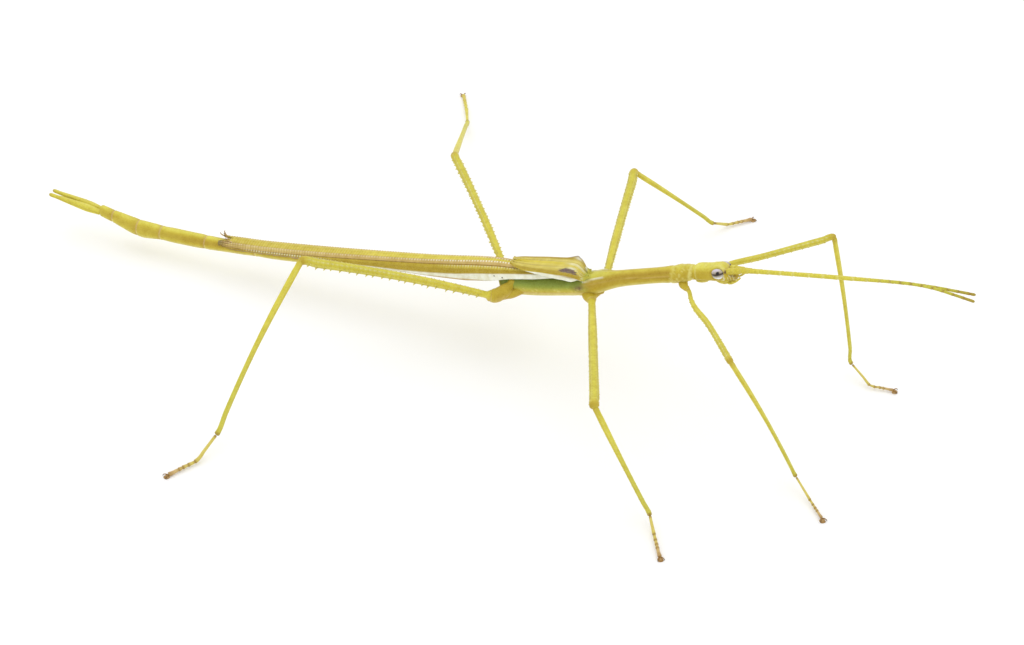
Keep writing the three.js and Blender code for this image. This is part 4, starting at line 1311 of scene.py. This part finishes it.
def wing_stripes(u, x):
    """Place across a hindwing's stripes: 1 at the beads, 2 at the seam, 3 where the cream margin starts."""
    behind = WAIST - x
    bead, seam, cream = (np.interp(behind, *line.T) for line in (BEAD_LINE, SEAM_LINE, CREAM_LINE))
    rest = np.where(u < cream, 2 + (u - seam) / (cream - seam), 3 + (u - cream) / (1.001 - cream))
    return np.where(u < bead, u / bead, np.where(u < seam, 1 + (u - bead) / (seam - bead), rest))


def ribs(x):
    """Fine ribs across a hindwing, from 0 between them to 1 on them."""
    return 0.5 + 0.5 * wave(x, RIB_PITCH)


def add_hindwing(shell, side, sizes, colours, luck):
    """Folded hindwing with ribs, beads, a seam, a cream margin and a worn tip with loose shreds."""
    sign = SIDES[side]
    xs, rows = wing_rows(f"hindwing_{side}")
    fray = rough(spread(FRAY_AT, 0.0, 3.0 * sign), 0.35)

    def frayed(x):
        """How ragged the lower margin is, in the length where it is worn."""
        behind = WAIST - x
        worn = smooth(44, 49, behind) * (1 - smooth(59, 62, behind))
        return worn * np.interp(behind, FRAY_AT, fray)

    def span(x, tip):
        grown = smooth(tip - 0.6, tip + 3, x)
        ragged = 0.05 * frayed(x) + 0.06 * (1 - smooth(tip, tip + 2, x)) * np.sin(x * 9)
        edge = np.interp(WAIST - x, *WING_EDGE.T)
        return 0.6 + (WING_OVERLAP[side] - 0.6) * grown, edge * (0.82 + 0.18 * grown) - ragged

    def below_seam(x):
        return 1 - smooth(RIB_LENGTH - 3, RIB_LENGTH + 3, WAIST - x)

    def lower_ribs(w, x):
        return smooth(2.05, 2.12, w) * (1 - smooth(2.4, 2.5, w)) * below_seam(x)

    def relief(u, x):
        w = wing_stripes(u, x)
        rib = sizes.wing_rib / MM
        ribbed = (1 - smooth(0.8, 0.92, w)) + lower_ribs(w, x)
        beads = bell(w, 1.0, 0.1) * (0.4 + ribs(x))
        grooves = bell(w, 0.86, 0.04) + bell(w, 1.2, 0.05) + 1.8 * bell(w, 2.0, 0.07) + bell(w, 2.55, 0.04)
        folds = bell(w, 1.45, 0.08) - bell(w, 1.6, 0.06) + bell(w, 1.78, 0.07)
        margin = 1.6 * bell(w, 3.1, 0.12) - 1.2 * bell(w, 3.55, 0.1)
        lift = OVERLAP_LIFT * (1 - smooth(0.02, 0.07, u)) * (side == "right")
        return lift + rib * (ribbed * (ribs(x) - 0.5) + 1.6 * beads - 1.5 * grooves + 0.8 * folds + margin)

    def paint(u, x):
        w = wing_stripes(u, x)
        behind = WAIST - x
        straw, tan = colours.straw, blend(colours.tan, colours.ochre, 0.4)
        tone = bands(w, [
            (0, straw), (0.78, straw), (0.88, tan), (1.0, colours.rose), (1.5, colours.rose),
            (1.62, tan), (1.75, colours.rose), (1.93, blend(tan, colours.brown, 0.35)),
            (2.0, colours.brown), (2.06, colours.ochre), (2.14, colours.gold), (2.35, colours.gold),
            (2.55, colours.olive), (2.9, colours.olive), (3.0, colours.cream), (3.72, colours.cream),
            (3.82, colours.tan), (4.0, colours.tan),
        ])
        rear = smooth(34, 46, behind) * (1 - smooth(0.8, 0.9, w))
        tone = blend(tone, blend(colours.gold, colours.ochre, 0.15), 0.75 * rear)
        olive = smooth(2.0, 2.1, w) * (1 - smooth(2.5, 2.6, w)) * (1 - below_seam(x))
        tone = blend(tone, colours.olive, 0.6 * olive)
        ribbed = (1 - smooth(0.75, 0.9, w)) + lower_ribs(w, x)
        tone = blend(tone, colours.pale, 0.35 * np.clip(ribbed, 0, 1) * ribs(x))
        beads = bell(w, 1.06, 0.19) * smooth(0.4, 0.8, ribs(x + 0.1))
        fading = 1 - 0.65 * smooth(22, 36, behind)
        tone = blend(tone, BEAD_WHITE, np.clip(1.2 * beads, 0, 1) * fading)
        lower = bell(w, 2.17, 0.07) * smooth(0.3, 0.8, ribs(x)) * below_seam(x)
        tone = blend(tone, colours.cream, 0.55 * lower)
        tone = blend(tone, colours.dark, 0.5 * bell(w, 1.99, 0.03) * (0.5 + 0.5 * np.sin(x * 1.7)))
        far = smooth(42, 50, behind)
        tone = blend(tone, colours.pale, 0.45 * far * bell(w, 1.4, 0.45) * ribs(x))
        tone = blend(tone, colours.brown, 0.3 * far * bell(w, 1.6, 0.4) * ribs(x + RIB_PITCH / 2))
        bare = bell(u, 0.88, 0.04) * far * (1 - smooth(58, 61, behind)) * smooth(0.25, 0.7, ribs(x))
        tone = blend(tone, colours.cream, 0.8 * bare)
        tone = blend(tone, colours.brown, 0.75 * far * smooth(0.93, 0.965, u))
        near_tip = smooth(58.5, 63.5, behind)
        veins = smooth(-0.2, 0.8, np.cos(u * 46 + 0.4 * np.sin(x * 2)))
        tone = blend(tone, colours.brown, near_tip * (0.1 + 0.6 * veins) * smooth(0.1, 0.6, u))
        edge = 0.6 * smooth(63.2, 65, behind) + 0.4 * near_tip * smooth(0.93, 1.0, u)
        return blend(tone, colours.dark, edge)

    add_wing(shell, f"hindwing_{side}", sign, HINDWING_GRID, hindwing_form, span, relief, paint,
             sizes.wing_wall / MM)
    for behind, u in WING_SPECKS if side == "right" else ():
        ridge, half, edge = through(xs, rows, np.array([WAIST - behind]))[0]
        y, z = hindwing_form(u, ridge, half, edge)
        place = Matrix.Translation((WAIST - behind, MIDLINE + sign * y, z + 0.03))
        shell.egg(place, SPECK_SIZE, colours.dark)
    for _ in range(SHREDS):
        x = xs[0] + luck.uniform(0.2, 2.6)
        ridge, half, edge = through(xs, rows, np.array([x]))[0]
        u = luck.uniform(0.2, 0.6)
        y, z = hindwing_form(u, ridge, half, edge)
        start = np.array([x, MIDLINE + sign * y, z - 0.05])
        drift = np.array([-luck.uniform(0.5, 1.0), sign * luck.uniform(-0.1, 0.3), luck.uniform(0.25, 0.55)])
        route = [start + drift * share for share in SHRED_CURL]
        caps = (0.05, 0.1)
        line = line_through(route, 0.08, caps)

        def shred_form(at, angle):
            thin = 0.1 * (1 - 0.6 * at / line.length) * rounded(at, line.length, caps)
            return np.sin(angle) * thin * 1.6, np.cos(angle) * thin * 0.6

        def shred_paint(at, angle):
            return blend(colours.tan, colours.brown, at / line.length + 0 * angle)

        shell.tube(line, 8, shred_form, shred_paint)


def add_tegmen(shell, side, sizes, colours):
    """Short forewing with a net of veins, a humped shoulder, a plum spot and a cream lower margin."""
    xs, _ = wing_rows(f"tegmen_{side}")
    spots = points_of(f"tegmen_{side}")
    hump = spots[np.argmax(spots[:, 2]), 0] + HUMP_LEAD

    def span(x, tip):
        grown = smooth(tip - 0.5, tip + 1.6, x)
        edge = np.interp(WAIST - x, *TEGMEN_EDGE.T)
        low = TEGMEN_TIP[side] + (TEGMEN_OVERLAP[side] - TEGMEN_TIP[side]) * grown
        return low, edge * (0.8 + 0.2 * grown)

    def vein(u, x, width):
        return bell(u, 0.23 + 0.02 * np.sin(x * 0.7), width)

    def netted(u, x):
        net = np.cos(u * 62 + x * 1.2) * np.cos(x * 12.5)
        return net * (1 - smooth(0.4, 0.6, u)) * smooth(-0.02, 0.06, u)

    def wrinkles(u, x):
        return bell(x, hump + 2.3, 1.0) * bell(u, 0.3, 0.17) * np.sin(u * 42 + 1.2 * np.sin(x * 2.2))

    def relief(u, x):
        ahead = x > hump
        length = np.where(ahead, CREST["length"] * 0.72, CREST["length"] * 1.15)
        peak = np.exp(-np.abs((x - hump) / length) ** 1.5) * (CREST["peak"] - CREST["height"])
        fade = smooth(xs[0], hump, x)
        crest = bell(u, CREST["across"], CREST["width"]) * (CREST["height"] * fade + peak) * 0.8
        rib = sizes.wing_rib / MM
        sunk = 0.2 * (1 - smooth(xs[0], xs[0] + 5, x))
        lift = OVERLAP_LIFT * (1 - smooth(0.0, 0.06, u)) * (side == "right")
        lines = vein(u, x, 0.014) + 0.8 * bell(u, 0.48, 0.012) + 0.8 * bell(u, 0.78, 0.014)
        return crest + rib * (netted(u, x) + 1.2 * lines) + 0.07 * wrinkles(u, x) + lift - sunk

    def paint(u, x):
        behind = WAIST - x
        gold = blend(colours.straw, colours.gold, 0.3)
        # The olive band from 0.55 to 0.74 across, under the crest, is partly painted shade of the flank.
        tone = bands(u, [
            (-0.2, colours.straw), (0.12, colours.straw), (0.2, colours.gold), (0.35, gold),
            (0.46, colours.gold), (0.55, colours.olive), (0.74, colours.olive),
            (0.8, colours.gold), (1, colours.gold),
        ]) + 0 * x[..., None]
        tone = blend(tone, blend(colours.pale, colours.cream, 0.6), 0.6 * smooth(0.15, 0.7, netted(u, x)))
        tone = blend(tone, colours.brown, 0.5 * vein(u, x, 0.02) * smooth(4, 7, behind))
        tone = blend(tone, colours.pale, 0.6 * bell(u, 0.27, 0.03) * (1 - smooth(7, 9, behind)))
        cream = np.interp(behind, *TEGMEN_CREAM.T)
        tone = blend(tone, colours.cream, smooth(cream - 0.02, cream + 0.02, u))
        tone = blend(tone, WRINKLE_WHITE, 0.75 * smooth(0.25, 0.9, wrinkles(u, x)))
        tone = blend(tone, colours.ochre, 0.6 * smooth(0.25, 0.9, -wrinkles(u, x)))
        tone = blend(tone, colours.cream, 0.5 * (1 - smooth(0.0, 0.06, u)) * (1 - smooth(3.0, 5, behind)))
        # Painted shade: darker olive-brown under the crest, beside the hump.
        shade = 0.7 * bell(u, 0.8, 0.06) * bell(x, hump + 0.2, 1.6)
        tone = blend(tone, blend(colours.olive, colours.brown, 0.5), shade)
        reach = np.hypot((x - hump + 0.2) / PLUM_SIZE[0], (u - PLUM_SPOT[side]) / PLUM_SIZE[1])
        reach = reach + 0.14 * np.sin(x * 9 + u * 40)
        mottle = 0.5 + 0.5 * np.sin(x * 13 + 9 * np.sin(u * 30))
        plum = blend(np.array(colours.plum) * 0.45, PLUM_BLOOM, 0.45 * mottle)
        tone = blend(tone, plum, 1 - smooth(0.85, 1.1, reach))
        moss = blend(colours.yellow, colours.green, 0.2)
        tone = blend(tone, moss, smooth(xs[-1] - 1.5, xs[-1] - 0.6, x) + 0 * u)
        rim = bell(u, PLUM_SPOT[side] - 0.21, 0.06) * bell(x, hump + 0.35, 0.6)
        return blend(tone, colours.cream, 0.7 * rim)

    add_wing(shell, f"tegmen_{side}", SIDES[side], TEGMEN_GRID, tegmen_form, span, relief, paint,
             sizes.wing_wall / MM, TEGMEN_DIP[side])


# ---------------------------------------------------------------- eyes, antennae and feet
EYE_BAND = 0.2  # height of the dark band on an eye, in eye radii
EYE_SPOT = (0.38, 0.47)  # of the black spot, forward and up
EYE_STREAK = (0.62, 0.58, 0.6)
EYE_RIM_REFLECTION = (0.66, 0.6, 0.7)  # painted reflection of the white room, lilac, along the upper and rear rim
EYE_LOWER = (0.5, 0.48, 0.4)
EYE_GLASS = (0.86, 0.86, 0.9)  # towards the bottom
EYE_BLACK = (0.008, 0.008, 0.008)
PAD_REACH = (0.5, 0.44)  # behind and ahead of the sole's middle
PAD_HALF = 0.4
CLAW_PAD = 0.5  # height of the pad that the claws' bow is given for
CLAW_BOW = (  # forward, outward and upward from the middle of the sole
    (-0.3, 0.1, 0.3), (0.0, 0.28, 0.44), (0.22, 0.44, 0.4), (0.33, 0.5, 0.24), (0.35, 0.51, 0.1),
)
CLAW_GIRTH = 0.12


def add_eye(shell, side, colours):
    """Silvery eye with a dark level band and a black spot that stands on the band."""
    out = HEAD_AXES[:, 1] * SIDES[side]
    turn = Matrix(np.stack([HEAD_AXES[:, 0], HEAD_AXES[:, 2], out], 1)).to_4x4()
    if turn.determinant() < 0:
        turn = Matrix(np.stack([-HEAD_AXES[:, 0], HEAD_AXES[:, 2], out], 1)).to_4x4()
    middle = middle_of(f"eye_{side}") + out * EYE_PROUD
    size = Matrix.Diagonal((EYE_HALF[0], EYE_HALF[2], EYE_HALF[1], 1))
    made = bmesh.ops.create_uvsphere(shell.form, u_segments=96, v_segments=64, radius=1,
                                     matrix=Matrix.Translation(middle) @ turn @ size, calc_uvs=True)["verts"]
    place = (np.array([vert.co for vert in made]) - middle) @ HEAD_AXES / EYE_HALF
    x, z = place[:, 0], place[:, 2]
    streaks = 0.5 + 0.5 * np.sin(12 * x + 5 * z + 2 * np.sin(7 * z))
    upper = blend(blend(colours.silver, colours.pale, 0.12), EYE_STREAK, 0.3 * streaks)
    # Painted reflection: lilac-white along the upper and rear rim.
    upper = blend(upper, EYE_RIM_REFLECTION, smooth(0.62, 0.95, z) + smooth(-0.1, -0.75, x) * 0.5)
    lower = blend(EYE_LOWER, EYE_GLASS, smooth(-0.15, -0.6, z))
    tone = blend(lower, upper, smooth(-0.05, 0.15, z))
    halo = np.hypot((x - EYE_SPOT[0]) / 0.5, (z - EYE_SPOT[1] + 0.1) / 0.42)
    tone = blend(tone, colours.brown, 0.55 * (1 - smooth(0.35, 1.1, halo)))
    band = bell(z, EYE_BAND, 0.27 - 0.09 * np.abs(x)) * (1 - smooth(0.9, 1.05, np.abs(x - 0.15)))
    tone = blend(tone, colours.dark, np.clip(1.1 * band, 0, 0.97))
    spot = np.hypot(x - EYE_SPOT[0], 0.9 * (z - EYE_SPOT[1]))
    tone = blend(tone, EYE_BLACK, 1 - smooth(0.16, 0.32, spot))
    for vert, colour, (along, _, high) in zip(made, tone, place):
        vert[shell.tint] = (*colour, 1)
        vert[shell.lay] = (along, 0, high)
    shell.keep(made, 2 * math.pi * EYE_HALF[0], math.pi * EYE_HALF[2])


SEGMENTS = (  # lengths of an antenna's first segments
    0.67, 0.67, 1.2, 1.3, 1.74, 1.74, 1.9, 2.1, 2.6, 2.3, 2.4, 2.5, 2.3, 2.0,
)
LATER_SEGMENT = 1.67  # length of each one after those


def add_antenna(shell, side, colours):
    """Feeler of many segments with pale rings, which turn brown towards the tip."""
    middles, radii = antenna_rings(side)
    way = heading(middles[0], middles[1])
    caps = (0.12, 0.3)
    line = line_through(np.vstack([middles[0] - way * 0.15, middles]), 0.14, caps)
    length = line.length
    joints = np.cumsum(SEGMENTS)
    joints = np.append(joints, np.arange(joints[-1] + LATER_SEGMENT, length - 0.5, LATER_SEGMENT))
    radius = radius_along(line, middles[1:-1], radii[1:-1])
    radius = radius * (1 - 0.12 * smooth(20, length, line.at))[:, None]

    def section(at, angle):
        ring = sum(bell(at, joint, 0.12) for joint in joints)
        swell = sum(bell(at, joint - 0.25, 0.22) for joint in joints)
        size = radius * (1 + 0.1 * swell - 0.14 * ring) * rounded(at, length, caps) + 0 * angle
        return circle(angle, size)

    def paint(at, angle):
        far = smooth(0.5, 0.75, at / length)
        tone = blend(colours.leg, blend(colours.leg, colours.green, 0.3), far + 0 * angle)
        tone = blend(tone, colours.gold, 0.5 * (1 - smooth(2, 7, at)) + 0 * angle)
        tone = blend(tone, colours.gold, 0.4 * smooth(60, 130, np.abs(angle)) + 0 * at)
        ring = np.clip(sum(bell(at, joint, 0.2) for joint in joints), 0, 1)
        ring = ring * (0.25 + 0.5 * smooth(5, 9, at))
        tone = blend(tone, blend(colours.pale, colours.brown, far), ring + 0 * angle)
        return blend(tone, colours.brown, 0.6 * smooth(length - 5, length, at) + 0 * angle)

    shell.tube(line, 14, section, paint)


def add_foot(shell, leg, colours):
    """Soft pad with a flat sole between two curved claws."""
    low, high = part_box(f"foot_{leg}")
    middle = middle_of(f"foot_{leg}")
    toes = leg_rings(leg)[2][0]
    way = (middle - toes[-1]) * (1, 1, 0)
    way = way / np.linalg.norm(way)
    across = np.array([-way[1], way[0], 0])
    sole = low.z / MM
    heart = np.array([middle[0], middle[1], sole]) - way * 0.02
    tall = (high.z - low.z) / MM
    caps = (0.3, 0.3)
    line = line_through([heart - way * PAD_REACH[0], heart, heart + way * PAD_REACH[1]], 0.05, caps)

    def section(at, angle):
        grow = rounded(at, line.length, caps)
        wide = PAD_HALF * grow * (1 + 0.15 * bell(np.abs(np.degrees(angle)), 90, 30))
        up = np.clip(np.cos(angle), -0.02, 1) * (tall - 0.12) * (1 - 0.35 * at / line.length) * grow
        return np.sin(angle) * wide, up + 0.01

    def paint(at, angle):
        return blend(colours.tan, colours.brown, 0.45 + 0.4 * smooth(0.5, 1.0, at / line.length) + 0 * angle)

    shell.tube(line, 24, section, paint)
    for sign in SIDES.values():
        route = [heart + way * x + across * sign * y + UP * z * tall / CLAW_PAD for x, y, z in CLAW_BOW]
        claw_caps = (0.08, 0.08)
        claw = line_through(route, 0.05, claw_caps)

        def horn(at, angle):
            thin = CLAW_GIRTH * (1 - 0.7 * at / claw.length) * rounded(at, claw.length, claw_caps)
            return circle(angle, thin + 0 * angle)

        def horn_paint(at, angle):
            return blend(colours.brown, colours.dark, smooth(0.4, 1, at / claw.length) + 0 * angle)

        shell.tube(claw, 10, horn, horn_paint)


# ---------------------------------------------------------------- stage
FLOOR_HALF = 4.0
FLOOR_DROP = 0.01 * MM  # keeps the floor just under the soles
FLOOR_WHITE = (0.97, 0.97, 0.97, 1)
LAMP_PLACE = (-0.1, 0.2, 0.6)
LAMP_SIZE = 0.8


def add_stage(context, stage):
    """White floor and room, a soft lamp and the camera."""
    scene = context.scene
    scene.view_settings.view_transform = "Standard"
    form = bmesh.new()
    bmesh.ops.create_grid(form, x_segments=1, y_segments=1, size=FLOOR_HALF,
                          matrix=Matrix.Translation((0, 0, -FLOOR_DROP)))
    mesh = bpy.data.meshes.new("floor")
    form.to_mesh(mesh)
    form.free()
    floor = bpy.data.objects.new("floor", mesh)
    scene.collection.objects.link(floor)
    finish = bpy.data.materials.new("floor")
    finish.use_nodes = True
    shader = finish.node_tree.nodes["Principled BSDF"]
    shader.inputs["Base Color"].default_value = FLOOR_WHITE
    shader.inputs["Roughness"].default_value = 0.9
    shader.inputs["Specular IOR Level"].default_value = 0.1
    mesh.materials.append(finish)

    room = bpy.data.worlds.new("room")
    room.use_nodes = True
    light = room.node_tree.nodes["Background"]
    light.inputs["Color"].default_value = (1, 1, 1, 1)
    light.inputs["Strength"].default_value = stage.sky
    scene.world = room
    lamp_data = bpy.data.lights.new("lamp", "AREA")
    lamp_data.shape = "DISK"
    lamp_data.size = LAMP_SIZE
    lamp_data.energy = stage.lamp
    lamp = bpy.data.objects.new("lamp", lamp_data)
    lamp.location = LAMP_PLACE
    lamp.rotation_euler = (-lamp.location).to_track_quat("-Z", "Y").to_euler()
    scene.collection.objects.link(lamp)

    a, e = stage.azimuth, stage.elevation
    back = Vector((math.sin(a) * math.cos(e), -math.cos(a) * math.cos(e), math.sin(e)))
    camera_data = bpy.data.cameras.new("camera")
    camera_data.lens = stage.lens
    camera_data.clip_start, camera_data.clip_end = 0.01, 20
    camera = bpy.data.objects.new("camera", camera_data)
    camera.location = Vector(stage.aim) + back * stage.distance
    camera.rotation_euler = (-back).to_track_quat("-Z", "Y").to_euler()
    scene.collection.objects.link(camera)
    scene.camera = camera


# ---------------------------------------------------------------- operators
SEED = 11


class SCENE_OT_insect_stage(bpy.types.Operator):
    """Set up the floor, the light and the camera"""

    bl_idname = "scene.insect_stage"
    bl_label = "Stage"

    def execute(self, context):
        add_stage(context, context.scene.insect_stage)
        return {"FINISHED"}


class MESH_OT_insect_skin(bpy.types.Operator):
    """Model the one skin over trunk, head, legs and tail blades"""

    bl_idname = "mesh.insect_skin"
    bl_label = "Skin"

    def execute(self, context):
        sizes, colours = context.scene.insect_sizes, context.scene.insect_colours
        luck = np.random.default_rng(SEED)
        shell = Shell()
        for leg in LEGS:
            add_coxa(shell, leg, sizes, colours)
            add_femur(shell, leg, sizes, colours, luck)
            add_tibia(shell, leg, colours, luck)
            add_tarsus(shell, leg, colours)
        for side in SIDES:
            add_cercus(shell, side, colours)
        add_trunk(shell, sizes, colours)
        add_skull(shell, sizes, colours)
        add_face(shell, colours)
        add_mouthparts(shell, colours)
        for side in SIDES.values():
            middle = from_head(mirrored(THROAT_FOLD, side))
            place = Matrix(np.column_stack([HEAD_AXES, middle]).tolist()).to_4x4()
            shell.egg(place, THROAT_FOLD_SIZE, blend(colours.gold, colours.pale, 0.4), 3)
        add_scapes(shell, colours)
        flesh = [f"{part}_{leg}" for part in ("coxa", "femur", "tibia", "tarsus") for leg in LEGS]
        flesh += [*TRUNK, "head", "mouthparts", *(f"cercus_{side}" for side in SIDES)]
        shell.finish("skin", "skin", flesh, skin_finish())
        return {"FINISHED"}


class MESH_OT_insect_eyes(bpy.types.Operator):
    """Model the two eyes"""

    bl_idname = "mesh.insect_eyes"
    bl_label = "Eyes"

    def execute(self, context):
        finish = eye_finish()
        for side in SIDES:
            shell = Shell()
            add_eye(shell, side, context.scene.insect_colours)
            shell.finish(f"eyeball_{side}", "eye", [f"eye_{side}"], finish)
        return {"FINISHED"}


class MESH_OT_insect_antennae(bpy.types.Operator):
    """Model the two antennae"""

    bl_idname = "mesh.insect_antennae"
    bl_label = "Antennae"

    def execute(self, context):
        finish = antenna_finish()
        for side in SIDES:
            shell = Shell()
            add_antenna(shell, side, context.scene.insect_colours)
            shell.finish(f"feeler_{side}", "antenna", [f"antenna_{side}"], finish)
        return {"FINISHED"}


class MESH_OT_insect_hindwings(bpy.types.Operator):
    """Model the folded hind wings over the abdomen"""

    bl_idname = "mesh.insect_hindwings"
    bl_label = "Hind wings"

    def execute(self, context):
        scene = context.scene
        finish = wing_finish("insect_hindwing")
        luck = np.random.default_rng(SEED + 1)
        for side in SIDES:
            shell = Shell()
            add_hindwing(shell, side, scene.insect_sizes, scene.insect_colours, luck)
            shell.finish(f"folded_wing_{side}", "hindwing", [f"hindwing_{side}"], finish)
        return {"FINISHED"}


class MESH_OT_insect_tegmina(bpy.types.Operator):
    """Model the two short forewings"""

    bl_idname = "mesh.insect_tegmina"
    bl_label = "Forewings"

    def execute(self, context):
        scene = context.scene
        finish = wing_finish("insect_tegmen")
        for side in SIDES:
            shell = Shell()
            add_tegmen(shell, side, scene.insect_sizes, scene.insect_colours)
            shell.finish(f"forewing_{side}", "tegmen", [f"tegmen_{side}"], finish)
        return {"FINISHED"}


class MESH_OT_insect_feet(bpy.types.Operator):
    """Model the pads and claws of the six feet"""

    bl_idname = "mesh.insect_feet"
    bl_label = "Feet"

    def execute(self, context):
        finish = claw_finish()
        for leg in LEGS:
            shell = Shell()
            add_foot(shell, leg, context.scene.insect_colours)
            shell.finish(f"claws_{leg}", "claw", [f"foot_{leg}"], finish)
        return {"FINISHED"}


class VIEW3D_PT_insect(bpy.types.Panel):
    """Settings and pieces of the stick insect"""

    bl_label = "Stick insect"
    bl_space_type = "VIEW_3D"
    bl_region_type = "UI"
    bl_category = "Insect"

    def draw(self, context):
        scene = context.scene
        for settings in (scene.insect_stage, scene.insect_sizes, scene.insect_colours):
            box = self.layout.box()
            for name in settings.__annotations__:
                box.prop(settings, name)
        for operator in OPERATORS:
            self.layout.operator(operator.bl_idname)


OPERATORS = (SCENE_OT_insect_stage, MESH_OT_insect_skin, MESH_OT_insect_eyes, MESH_OT_insect_antennae,
             MESH_OT_insect_hindwings, MESH_OT_insect_tegmina, MESH_OT_insect_feet)
CLASSES = (InsectSizes, InsectColours, InsectStage, *OPERATORS, VIEW3D_PT_insect)


def register():
    """Adds the settings, operators and panel to Blender."""
    for kind in CLASSES:
        bpy.utils.register_class(kind)
    bpy.types.Scene.insect_sizes = bpy.props.PointerProperty(type=InsectSizes)
    bpy.types.Scene.insect_colours = bpy.props.PointerProperty(type=InsectColours)
    bpy.types.Scene.insect_stage = bpy.props.PointerProperty(type=InsectStage)


def unregister():
    """Takes them out again."""
    del bpy.types.Scene.insect_stage
    del bpy.types.Scene.insect_colours
    del bpy.types.Scene.insect_sizes
    for kind in reversed(CLASSES):
        bpy.utils.unregister_class(kind)


def main():
    """Models every piece in order."""
    register()
    bpy.ops.scene.insect_stage()
    bpy.ops.mesh.insect_skin()
    bpy.ops.mesh.insect_eyes()
    bpy.ops.mesh.insect_antennae()
    bpy.ops.mesh.insect_hindwings()
    bpy.ops.mesh.insect_tegmina()
    bpy.ops.mesh.insect_feet()
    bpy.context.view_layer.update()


if __name__ == "__main__":
    main()
